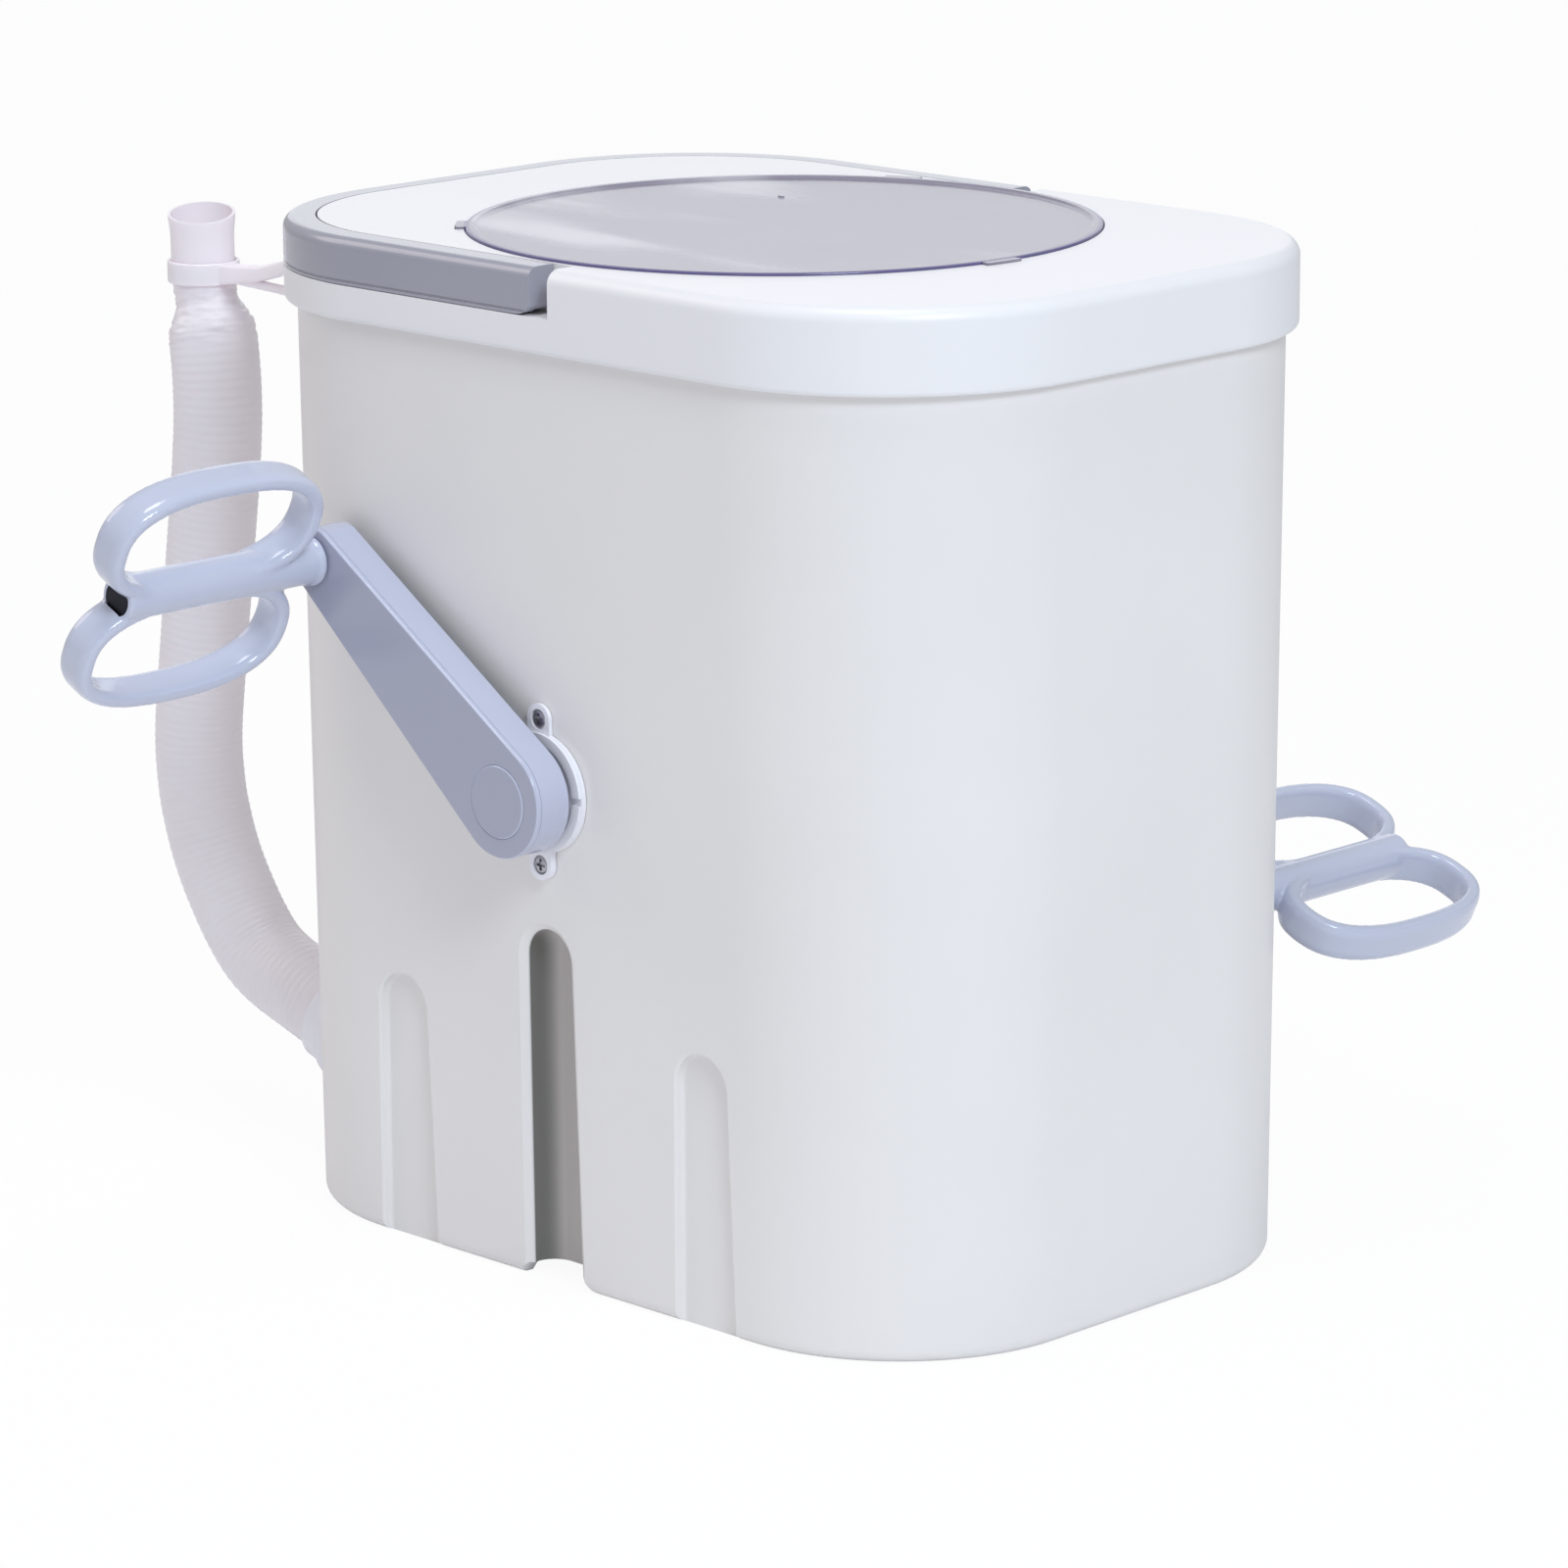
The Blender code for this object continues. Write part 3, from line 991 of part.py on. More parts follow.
# Gear housing on its pedestal
def make_housing():
    foot = FLOOR_TOP + GAP
    split = SHAFT_HEIGHT - GAP / 2
    inner = HOUSING_RADIUS - HOUSING_WALL
    deep = SHAFT_HEIGHT - HOUSING_DEPTH
    flange = HOUSING_RADIUS + HOUSING_FLANGE
    profile = ((0, foot), (PEDESTAL_FOOT_RADIUS, foot), (PEDESTAL_FOOT_RADIUS, foot + PEDESTAL_FOOT),
               (PEDESTAL_RADIUS + PEDESTAL_FOOT, foot + 2 * PEDESTAL_FOOT),
               (PEDESTAL_RADIUS, foot + 4 * PEDESTAL_FOOT), (PEDESTAL_RADIUS, deep - HOUSING_TAPER),
               (HOUSING_RADIUS, deep), (HOUSING_RADIUS, split - HOUSING_FLANGE_THICKNESS),
               (flange, split - HOUSING_FLANGE_THICKNESS), (flange, split), (inner, split),
               (inner, deep + HOUSING_WALL), (inner - HOUSING_WALL, deep), (0, deep))
    lower = turned("gear_housing_lower", profile, finish="housing_plastic")
    split = SHAFT_HEIGHT + GAP / 2
    top = SHAFT_HEIGHT + HOUSING_RISE
    tower_top = top + TOWER_HEIGHT
    bore = OUTPUT_RADIUS + RUN + OUTPUT_BUSH_WALL + GAP
    profile = ((inner, split), (flange, split), (flange, split + HOUSING_FLANGE_THICKNESS),
               (HOUSING_RADIUS, split + HOUSING_FLANGE_THICKNESS), (HOUSING_RADIUS, top - 2 * HOUSING_WALL),
               (HOUSING_RADIUS - 2 * HOUSING_WALL, top), (TOWER_RADIUS + HOUSING_WALL, top),
               (TOWER_RADIUS, top + HOUSING_WALL), (TOWER_RADIUS, tower_top), (bore, tower_top),
               (bore, top - HOUSING_WALL), (inner - HOUSING_WALL, top - HOUSING_WALL),
               (inner, top - 2 * HOUSING_WALL))
    upper = turned("gear_housing_upper", profile, finish="housing_plastic")
    for half in (lower, upper):
        cut(half, rod(f"cut_shaft_{half.name}", SHAFT_RADIUS + RUN, -2 * HOUSING_RADIUS, 2 * HOUSING_RADIUS, "Y",
                      (0, 0, SHAFT_HEIGHT)))
    ring = HOUSING_RADIUS + HOUSING_FLANGE / 2
    head_low = split + HOUSING_FLANGE_THICKNESS + GAP
    for index, angle in enumerate(HOUSING_SCREW_ANGLES):
        lean = math.radians(angle)
        centre = (ring * math.cos(lean), ring * math.sin(lean), 0)
        for half in (lower, upper):
            cut(half, rod(f"cut_screw_{half.name}_{index}", HOUSING_SCREW_RADIUS + GAP,
                          split - HOUSING_FLANGE_THICKNESS - OVERRUN, head_low + OVERRUN, centre=centre, steps=8))
        bottom = split - HOUSING_FLANGE_THICKNESS
        screw = ((0, bottom), (HOUSING_SCREW_RADIUS, bottom), (HOUSING_SCREW_RADIUS, head_low),
                 (HOUSING_SCREW_HEAD, head_low), (HOUSING_SCREW_HEAD, head_low + HOUSING_SCREW_HEAD_HEIGHT / 2),
                 (HOUSING_SCREW_HEAD / 2, head_low + HOUSING_SCREW_HEAD_HEIGHT),
                 (0, head_low + HOUSING_SCREW_HEAD_HEIGHT))
        turned(f"housing_screw_{index + 1}", screw, centre=centre, finish="steel", steps=8)
    seal_low = tower_top - OUTPUT_SEAL_HEIGHT
    pipe("output_bush", bore - GAP, OUTPUT_RADIUS + RUN, top - HOUSING_WALL, seal_low - GAP,
         finish="bush_plastic", steps=PIPE_STEPS)
    pipe("output_seal", bore - GAP, OUTPUT_RADIUS + RUN, seal_low, tower_top, finish="dark_rubber",
         steps=PIPE_STEPS)


def collar_low():
    return SHAFT_HEIGHT + HOUSING_RISE + TOWER_HEIGHT + OUTPUT_COLLAR_LIFT


def basket_low():
    return collar_low() + OUTPUT_COLLAR_HEIGHT + GAP


def hub_low():
    return basket_low() + BASKET_FLOOR + GAP


# Output shaft, basket and its fixings
def make_output():
    shaft_low = SHAFT_HEIGHT + APEX_TO_PINION * SHAFT_START_SHARE + TOOTH_DEDENDUM
    low = collar_low()
    shaft_top = hub_low() + HUB_HEIGHT + GAP + NUT_BITE
    profile = ((0, shaft_low), (OUTPUT_RADIUS, shaft_low), (OUTPUT_RADIUS, low), (OUTPUT_COLLAR_RADIUS, low),
               (OUTPUT_COLLAR_RADIUS, low + OUTPUT_COLLAR_HEIGHT), (OUTPUT_RADIUS, low + OUTPUT_COLLAR_HEIGHT),
               (OUTPUT_RADIUS, shaft_top), (0, shaft_top))
    turned("output_shaft", profile, finish="steel", steps=PIPE_STEPS)
    hub_base = hub_low()
    bore = OUTPUT_RADIUS + GAP
    profile = ((bore, hub_base), (HUB_RADIUS, hub_base), (HUB_RADIUS, hub_base + HUB_HEIGHT / 8),
               (HUB_TOP_RADIUS + (HUB_RADIUS - HUB_TOP_RADIUS) / 3, hub_base + HUB_HEIGHT / 2),
               (HUB_TOP_RADIUS, hub_base + HUB_HEIGHT), (bore, hub_base + HUB_HEIGHT))
    hub = turned("basket_hub", profile, finish="basket_plastic", steps=DISC_STEPS // 2)
    inner = OUTPUT_COLLAR_RADIUS
    half = HUB_FIN / 2
    stacks = []
    for index in range(HUB_FINS):
        turn = Matrix.Rotation(math.tau * index / HUB_FINS, 4, "Z")
        outline = ((inner, hub_base), (HUB_FIN_REACH, hub_base), (HUB_FIN_REACH, hub_base + HUB_HEIGHT / 6),
                   (inner, hub_base + HUB_HEIGHT - HUB_FIN))
        stacks.append([[turn @ Vector((x, y, z)) for x, z in outline] for y in (-half, half)])
    fuse(hub, lofts("add_fins", stacks))
    nut_base = hub_base + HUB_HEIGHT + GAP
    hexagon = arc((0, 0), NUT_RADIUS, 0, 300, 5)
    rings = [[(x, y, nut_base + height) for x, y in hexagon] for height in (0, NUT_HEIGHT - NUT_DOME)]
    rings.append([(x * NUT_DOME_SHARE, y * NUT_DOME_SHARE, nut_base + NUT_HEIGHT) for x, y in hexagon])
    nut = loft("basket_nut", rings, "steel")
    cut(nut, rod("cut_nut_bore", OUTPUT_RADIUS + GAP, nut_base - OVERRUN, nut_base + NUT_BITE + GAP,
                 steps=PIPE_STEPS))


def make_basket():
    low = basket_low()
    bore = OUTPUT_RADIUS + GAP
    outer_low = BASKET_RADIUS - BASKET_TAPER
    rim_low = BASKET_TOP - BASKET_RIM_HEIGHT
    bend = arc((outer_low - BASKET_ROUND, low + BASKET_ROUND), BASKET_ROUND, 270, 360, 4)
    inner_bend = arc((outer_low - BASKET_ROUND, low + BASKET_ROUND), BASKET_ROUND - BASKET_FLOOR, 360, 270, 4)
    profile = [(bore, low)] + bend
    profile += [(BASKET_RADIUS, rim_low), (BASKET_RADIUS + BASKET_RIM_REACH, rim_low),
                (BASKET_RADIUS + BASKET_RIM_REACH, BASKET_TOP), (BASKET_RADIUS - BASKET_WALL, BASKET_TOP)]
    profile += inner_bend
    profile += [(bore, low + BASKET_FLOOR)]
    basket = turned("wash_basket", profile, finish="basket_plastic", steps=2 * SLOTS_PER_ROW)
    half = SLOT_WIDTH / 2
    stacks = []
    for row in range(SLOT_ROWS):
        slot_low = low + SLOT_FIRST + row * SLOT_ROW_STEP
        for index in range(SLOTS_PER_ROW):
            turn = Matrix.Rotation(math.tau * (index + 0.5) / SLOTS_PER_ROW, 4, "Z")
            outline = ((-half, slot_low), (half, slot_low), (half, slot_low + SLOT_HEIGHT),
                       (-half, slot_low + SLOT_HEIGHT))
            stacks.append([[turn @ Vector((x, y, z)) for y, z in outline]
                           for x in (outer_low - OVERRUN, BASKET_RADIUS + OVERRUN)])
    cut(basket, lofts("cut_slots", stacks))
    holes = []
    for index in range(FLOOR_HOLES):
        angle = math.tau * index / FLOOR_HOLES
        middle = (FLOOR_HOLE_CIRCLE * math.cos(angle), FLOOR_HOLE_CIRCLE * math.sin(angle))
        outline = arc(middle, FLOOR_HOLE_RADIUS, 0, 315, 7)
        holes.append([[(x, y, height) for x, y in outline] for height in (low - OVERRUN, low + OVERRUN)])
    cut(basket, lofts("cut_floor_holes", holes))


# Drain spigot, hose and clip
def spigot_seat():
    """How far in from the end wall the gasket's flat back lies, clear of the bucket's round corner."""
    corner = BUCKET_CORNER_LOW + (BUCKET_CORNER_TOP - BUCKET_CORNER_LOW) * SPIGOT_HEIGHT / BUCKET_HEIGHT
    past = HOSE_PAST_FLAT + GASKET_RADIUS
    return corner - math.sqrt(corner ** 2 - past ** 2) + BUCKET_WALL + GASKET_LEAST


def spigot_place(along):
    """A place on the tilted spigot's middle line, counted out from the bucket's end wall."""
    lean = math.radians(SPIGOT_TILT)
    return Vector((-end_reach(SPIGOT_HEIGHT) - along * math.cos(lean), HOSE_PLANE,
                   SPIGOT_HEIGHT + along * math.sin(lean)))


def tilted(name, profile):
    piece = turned(name, profile, steps=PIPE_STEPS)
    turn = Matrix.Rotation(math.radians(SPIGOT_TILT - 90), 4, "Y")
    piece.data.transform(Matrix.Translation(spigot_place(0)) @ turn)
    return piece


def make_spigot():
    wall = -end_reach(SPIGOT_HEIGHT)
    seat = wall + spigot_seat()
    inner_end = seat + GAP + SPIGOT_NUT + SPIGOT_END
    centre = (0, HOSE_PLANE, SPIGOT_HEIGHT)
    spigot = rod("drain_spigot", SPIGOT_RADIUS, wall - SPIGOT_STANDOFF, inner_end, "X", centre, "white_plastic",
                 PIPE_STEPS)
    plate = rod("add_spigot_plate", SPIGOT_FLANGE_RADIUS, wall - SPIGOT_FLANGE, seat, "X", centre)
    collar = SPIGOT_STANDOFF + SPIGOT_COLLAR
    barb = SPIGOT_RADIUS - GAP
    tip = SPIGOT_REACH + SPIGOT_STANDOFF
    fuse(plate, tilted("add_spigot_barb", ((0, 0), (SPIGOT_COLLAR_RADIUS, 0), (SPIGOT_COLLAR_RADIUS, collar),
                                           (barb, collar), (barb, tip), (0, tip))))
    cut(plate, bucket_skin("cut_spigot_back", 0, BUCKET_HEIGHT, -GAP))
    fuse(spigot, plate)
    bore = rod("cut_spigot_bore", SPIGOT_BORE, wall - SPIGOT_FLANGE, inner_end + OVERRUN, "X", centre,
               steps=PIPE_STEPS)
    outer_end = SPIGOT_REACH + 2 * OVERRUN
    outer = SPIGOT_BORE - GAP
    profile = ((0, -GAP), (outer, -GAP), (outer, outer_end), (0, outer_end))
    cut(spigot, fuse(bore, tilted("add_outer_bore", profile)))
    gasket = pipe("spigot_gasket", GASKET_RADIUS, SPIGOT_RADIUS + GAP, wall, seat, "X", centre, "dark_rubber",
                  PIPE_STEPS)
    cut(gasket, bucket_outside("cut_gasket_back"))
    nut = rod("spigot_nut", SPIGOT_NUT_RADIUS, seat + GAP, seat + GAP + SPIGOT_NUT, "X", centre,
              "white_plastic", 6)
    cut(nut, rod("cut_spigot_nut", SPIGOT_RADIUS + GAP, seat - GAP, seat + GAP + 2 * SPIGOT_NUT, "X", centre,
                 steps=PIPE_STEPS))


def bucket_outside(name):
    """Everything outside the bucket's inner face, near the floor."""
    block = box(name, (-BUCKET_LENGTH_TOP, -BUCKET_WIDTH_TOP, 0), (BUCKET_LENGTH_TOP, BUCKET_WIDTH_TOP,
                                                                   SHAFT_HEIGHT))
    inside = bucket_skin("keep_" + name, -OVERRUN, SHAFT_HEIGHT + OVERRUN, BUCKET_WALL + GAP)
    return cut(block, inside)


def hose_path():
    """The smooth route as close points, straight at both ends, with the length run so far."""
    wall = -end_reach(SPIGOT_HEIGHT)
    start = SPIGOT_STANDOFF + SPIGOT_COLLAR + GAP
    knots = [spigot_place(start), spigot_place(start + HOSE_RADIUS), spigot_place(start + 2 * HOSE_RADIUS)]
    climb = DECK_TOP - SPIGOT_HEIGHT
    knots += [Vector((wall - out * HOSE_SWING, HOSE_PLANE, SPIGOT_HEIGHT + up * climb))
              for out, up in HOSE_ROUTE]
    knots = [2 * knots[0] - knots[1]] + knots + [2 * knots[-1] - knots[-2]]
    path = []
    for index in range(1, len(knots) - 2):
        before, here, there, beyond = knots[index - 1:index + 3]
        for step in range(PATH_STEPS):
            share = step / PATH_STEPS
            path.append(0.5 * (2 * here + (there - before) * share
                               + (2 * before - 5 * here + 4 * there - beyond) * share ** 2
                               + (3 * here - before - 3 * there + beyond) * share ** 3))
    path.append(knots[-2])
    lengths = [0.0]
    for one, two in zip(path, path[1:]):
        lengths.append(lengths[-1] + (two - one).length)
    return path, lengths


def place_along(path, lengths, wanted):
    for index in range(len(path) - 1):
        if lengths[index + 1] >= wanted:
            share = (wanted - lengths[index]) / (lengths[index + 1] - lengths[index])
            return path[index].lerp(path[index + 1], share)
    return path[-1] + (path[-1] - path[-2]).normalized() * (wanted - lengths[-1])


def tube_mesh(name, places, radii, widest):
    """A closed tube through places, made as a bevelled curve and turned into a mesh."""
    curve = bpy.data.curves.new(name, "CURVE")
    curve.dimensions = "3D"
    curve.bevel_depth = widest
    curve.bevel_resolution = HOSE_SIDES_RESOLUTION
    curve.use_fill_caps = True
    spline = curve.splines.new("POLY")
    spline.points.add(len(places) - 1)
    for point, place, radius in zip(spline.points, places, radii):
        point.co = (*place, 1)
        point.radius = radius / widest
    guide = bpy.data.objects.new(name + "_guide", curve)
    bpy.context.scene.collection.objects.link(guide)
    mesh = bpy.data.meshes.new_from_object(guide.evaluated_get(bpy.context.evaluated_depsgraph_get()))
    bpy.data.objects.remove(guide, do_unlink=True)
    shell = bmesh.new()
    shell.from_mesh(mesh)
    bmesh.ops.remove_doubles(shell, verts=shell.verts, dist=GAP / 100)
    bmesh.ops.recalc_face_normals(shell, faces=shell.faces)
    shell.to_mesh(mesh)
    shell.free()
    mesh.materials.clear()
    return mesh


def make_hose():
    path, lengths = hose_path()
    total = lengths[-1]
    cuff_start = total - CUFF_LENGTH
    ribs_start = CUFF_SHOULDER
    ribs_end = cuff_start - CUFF_SHOULDER
    ribs = int((ribs_end - ribs_start) / HOSE_RIB_PITCH)
    stations = [(0, HOSE_VALLEY)]
    for rib in range(ribs):
        stations.append((ribs_start + rib * HOSE_RIB_PITCH, HOSE_VALLEY))
        stations.append((ribs_start + (rib + 0.5) * HOSE_RIB_PITCH, HOSE_RADIUS))
    stations += [(ribs_end, HOSE_VALLEY), (cuff_start, CUFF_RADIUS),
                 (total - CUFF_FLARE_LENGTH, CUFF_RADIUS), (total, CUFF_MOUTH_RADIUS)]
    places = [place_along(path, lengths, run) for run, _ in stations]
    mesh = tube_mesh("drain_hose", places, [radius for _, radius in stations], HOSE_RADIUS)
    hose = add_object("drain_hose", mesh, "hose_plastic")
    steps = int(total / HOSE_RADIUS / BORE_STEP_SHARE)
    runs = [-OVERRUN] + [total * step / steps for step in range(steps + 1)] + [total + OVERRUN]
    bore_places = [place_along(path, lengths, run) for run in runs[1:]]
    bore_places.insert(0, path[0] - (path[1] - path[0]).normalized() * OVERRUN)
    bore_radii = [CUFF_BORE if run > ribs_end else HOSE_BORE for run in runs]
    bore = add_object("cut_hose_bore", tube_mesh("cut_hose_bore", bore_places, bore_radii, HOSE_BORE))
    cut(hose, bore)
    print(f"hose length {total * 1000:.0f} mm, {ribs} ribs")


def make_clip():
    path, lengths = hose_path()
    run = next(length for place, length in zip(path, lengths) if place.z >= CLIP_HEIGHT)
    middle = place_along(path, lengths, run)
    ring_inner = CUFF_RADIUS + CLIP_ROOM
    ring_outer = ring_inner + CLIP_RING_WALL
    half_band = CLIP_BAND / 2
    centre = (middle.x, middle.y, CLIP_HEIGHT)
    clip = pipe("hose_clip", ring_outer, ring_inner, -half_band, half_band, centre=centre,
                finish="white_plastic")
    root = -DECK_LENGTH / 2
    foot_low = DECK_LOW + GAP
    foot_high = foot_low + CLIP_FOOT_HEIGHT
    half_foot = CLIP_FOOT_WIDTH / 2
    fuse(clip, box("add_clip_foot", (root - CLIP_FOOT, HOSE_PLANE - half_foot, foot_low),
                   (root + 2 * CLIP_FOOT, HOSE_PLANE + half_foot, foot_high)))
    half_arm = CLIP_ARM_WIDTH / 2
    near = (ring_outer + ring_inner) / 2
    gusset = CLIP_ARM_WIDTH
    arm_low = CLIP_HEIGHT - half_band / 2
    arm_height = CLIP_HEIGHT + half_band - arm_low
    rings = [[(x, HOSE_PLANE + y, z) for y, z in ((-half, low), (half, low), (half, high), (-half, high))]
             for x, half, low, high in ((middle.x + near, half_arm, arm_low, arm_low + arm_height),
                                        (root - CLIP_FOOT - gusset, half_arm, foot_low + GAP,
                                         foot_low + arm_height),
                                        (root - CLIP_FOOT / 2, half_foot - GAP, foot_low + GAP,
                                         foot_high - GAP))]
    fuse(clip, loft("add_clip_arm", rings))
    mouth = CLIP_MOUTH / 2
    cut(clip, box("cut_clip_mouth", (middle.x - 2 * ring_outer, middle.y - mouth, CLIP_HEIGHT - CLIP_BAND),
                  (middle.x, middle.y + mouth, CLIP_HEIGHT + CLIP_BAND)))
    cut(clip, loft("cut_clip_back", [deck_ring(DECK_LOW - OVERRUN, -GAP), deck_ring(DECK_TOP, -GAP)]))


def main():
    clear_scene()
    make_bucket()
    make_deck()
    make_cover()
    make_handle()
    make_shaft()
    for name, side in SIDES.items():
        make_bearing(name, side)
        make_arm(name, side)
        make_pedal(name, side, PEDAL_SLANT_FRONT if side < 0 else PEDAL_SLANT_REAR)
    make_gears()
    make_housing()
    make_output()
    make_basket()
    make_spigot()
    make_hose()
    make_clip()


main()
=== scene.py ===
import math
from functools import partial

import bmesh
import bpy
from mathutils import Matrix, Vector


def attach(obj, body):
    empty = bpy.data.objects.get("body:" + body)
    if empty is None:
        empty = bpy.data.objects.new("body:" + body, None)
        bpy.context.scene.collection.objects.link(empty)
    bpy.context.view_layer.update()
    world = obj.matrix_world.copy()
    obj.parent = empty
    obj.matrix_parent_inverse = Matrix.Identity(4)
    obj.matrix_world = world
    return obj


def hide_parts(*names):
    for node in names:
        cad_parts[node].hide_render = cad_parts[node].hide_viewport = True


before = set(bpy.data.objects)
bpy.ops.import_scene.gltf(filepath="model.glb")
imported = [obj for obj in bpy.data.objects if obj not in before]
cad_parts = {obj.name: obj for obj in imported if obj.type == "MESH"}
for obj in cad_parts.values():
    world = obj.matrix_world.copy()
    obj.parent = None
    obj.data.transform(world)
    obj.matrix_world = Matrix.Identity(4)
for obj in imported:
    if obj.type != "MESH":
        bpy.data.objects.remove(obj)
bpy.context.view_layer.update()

sides = {"front": -1, "rear": 1}  # the cranks' walls, -Y and +Y
shaftCentre = (0, 0, 0.198)
spigotCentre = (0, -0.062, 0.0525)
fit = 0.0003  # gap between pieces that stay together
play = 0.0004  # gap between pieces that move
past = 0.01  # how far a cutter reaches past a face
far = 0.5  # how far a cutter reaches that takes off a whole side


def assign(thing, settings):
    for key, value in settings.items():
        setattr(thing, key, value)
    return thing


def addObject(name, data):
    thing = bpy.data.objects.new(name, data)
    bpy.context.scene.collection.objects.link(thing)
    return thing


# Meshes
def fixNormals(mesh):
    shell = bmesh.new()
    shell.from_mesh(mesh)
    bmesh.ops.recalc_face_normals(shell, faces=shell.faces)
    shell.to_mesh(mesh)
    shell.free()


def meshObject(name, points, faces=(), edges=()):
    mesh = bpy.data.meshes.new(name)
    mesh.from_pydata([tuple(point) for point in points], edges, faces)
    fixNormals(mesh)
    return addObject(name, mesh)


def modify(thing, kind, **settings):
    return assign(thing.modifiers.new(kind.lower(), kind), settings)


def bakeModifiers(thing):
    bpy.context.view_layer.update()
    graph = bpy.context.evaluated_depsgraph_get()
    mesh = bpy.data.meshes.new_from_object(thing.evaluated_get(graph), depsgraph=graph)
    thing.modifiers.clear()
    thing.data = mesh
    return thing


def combine(thing, others, operation):
    for other in others:
        modify(thing, "BOOLEAN", operation=operation, solver="EXACT", object=other)
        bakeModifiers(thing)
        bpy.data.objects.remove(other, do_unlink=True)
    return thing


def carve(thing, *cutters):
    return combine(thing, cutters, "DIFFERENCE")


def fuse(thing, *others):
    return combine(thing, others, "UNION")


def roundEdges(thing, width, segments=2, angle=50):
    modify(thing, "BEVEL", width=width, segments=segments, limit_method="ANGLE",
           angle_limit=math.radians(angle))
    return bakeModifiers(thing)


def finishPiece(thing, body, slotName, material, *nodes, angle=30, weighted=True):
    thing.data.shade_smooth()
    thing.data.set_sharp_from_angle(angle=math.radians(angle))
    if weighted:
        modify(thing, "WEIGHTED_NORMAL", keep_sharp=True)
        bakeModifiers(thing)
    thing.data.materials.clear()
    thing.data.materials.append(material)
    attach(thing, body)
    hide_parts(*nodes)


def alongAxis(axis, across, height, centre=(0, 0, 0)):
    first, second = across
    point = {"X": (height, first, second), "Y": (first, height, second), "Z": (first, second, height)}[axis]
    return tuple(value + shift for value, shift in zip(point, centre))


def prism(axis, outline, levels, centre=(0, 0, 0)):
    return [[alongAxis(axis, point, level, centre) for point in outline] for level in levels]


def spread(rings, count, offset=0.0):
    turns = [Matrix.Rotation(math.tau * (index + offset) / count, 4, "Z") for index in range(count)]
    return [[[turn @ Vector(point) for point in ring] for ring in rings] for turn in turns]


def bandFaces(here, there, count):
    pairs = [(step, (step + 1) % count) for step in range(count)]
    return [(here + step, here + after, there + after, there + step) for step, after in pairs]


def loft(name, *stacks):
    points, faces = [], []
    for rings in stacks:
        start, count = len(points), len(rings[0])
        points += [point for ring in rings for point in ring]
        last = len(points) - count
        for base in range(start, last, count):
            faces += bandFaces(base, base + count, count)
        faces += [tuple(range(start, start + count)), tuple(range(last, last + count))]
    return meshObject(name, points, faces)


def turned(name, profile, axis="Z", centre=(0, 0, 0), steps=96, side=1):
    points, rings = [], []
    for radius, height in profile:
        count = steps if radius > 0 else 1
        rings.append(range(len(points), len(points) + count))
        for step in range(count):
            angle = math.tau * step / steps
            across = (radius * math.cos(angle), radius * math.sin(angle))
            points.append(alongAxis(axis, across, side * height, centre))
    pairs = list(zip(rings, rings[1:]))
    if profile[0][0] > 0:
        pairs.append((rings[-1], rings[0]))
    faces = []
    for one, two in pairs:
        for here in range(steps):
            there = (here + 1) % steps
            corners = ((one, here), (one, there), (two, there), (two, here))
            faces.append(tuple(dict.fromkeys(ring[step % len(ring)] for ring, step in corners)))
    return meshObject(name, points, [face for face in faces if len(face) > 2])


def rod(name, radius, low, high, axis="Z", centre=(0, 0, 0), steps=64, side=1):
    return turned(name, ((0, low), (radius, low), (radius, high), (0, high)), axis, centre, steps, side)


def block(name, low, high):
    outline = ((low[0], low[1]), (high[0], low[1]), (high[0], high[1]), (low[0], high[1]))
    return loft(name, prism("Z", outline, (low[2], high[2])))


def arc(centre, radius, start, end, steps):
    angles = [math.radians(start + (end - start) * step / steps) for step in range(steps + 1)]
    return [(centre[0] + radius * math.cos(angle), centre[1] + radius * math.sin(angle)) for angle in angles]


def roundRing(length, width, radius, height, steps=28):
    points = []
    for quarter, (sideX, sideY) in enumerate(((1, 1), (-1, 1), (-1, -1), (1, -1))):
        centre = (sideX * (length / 2 - radius), sideY * (width / 2 - radius))
        points += arc(centre, radius, 90 * quarter, 90 * quarter + 90, steps)
    return [(x, y, height) for x, y in points]


# Node trees
def feed(tree, node, inputs):
    for key, value in inputs.items():
        socket = node.inputs[key]
        if isinstance(value, bpy.types.NodeSocket):
            tree.links.new(value, socket)
        else:
            socket.default_value = (*value, 1) if socket.type == "RGBA" else value


def addNode(tree, kind, inputs=None, **settings):
    node = assign(tree.nodes.new(kind), settings)
    feed(tree, node, inputs or {})
    return node.outputs


def maths(tree, operation, one, two=0.0):
    return addNode(tree, "ShaderNodeMath", {0: one, 1: two}, operation=operation)[0]


def mapRange(tree, value, fromLow, fromHigh, toLow=0.0, toHigh=1.0, smooth=False):
    inputs = {"Value": value, "From Min": fromLow, "From Max": fromHigh, "To Min": toLow, "To Max": toHigh}
    kind = "SMOOTHSTEP" if smooth else "LINEAR"
    return addNode(tree, "ShaderNodeMapRange", inputs, interpolation_type=kind)["Result"]


def mixColour(tree, share, one, two):
    return addNode(tree, "ShaderNodeMix", {0: share, 6: one, 7: two}, data_type="RGBA")[2]


def noise(tree, scale, detail=2.0, stretch=None):
    place = addNode(tree, "ShaderNodeTexCoord")["Object"]
    if stretch:
        place = addNode(tree, "ShaderNodeMapping", {"Vector": place, "Scale": stretch})["Vector"]
    return addNode(tree, "ShaderNodeTexNoise", {"Vector": place, "Scale": scale, "Detail": detail})["Fac"]


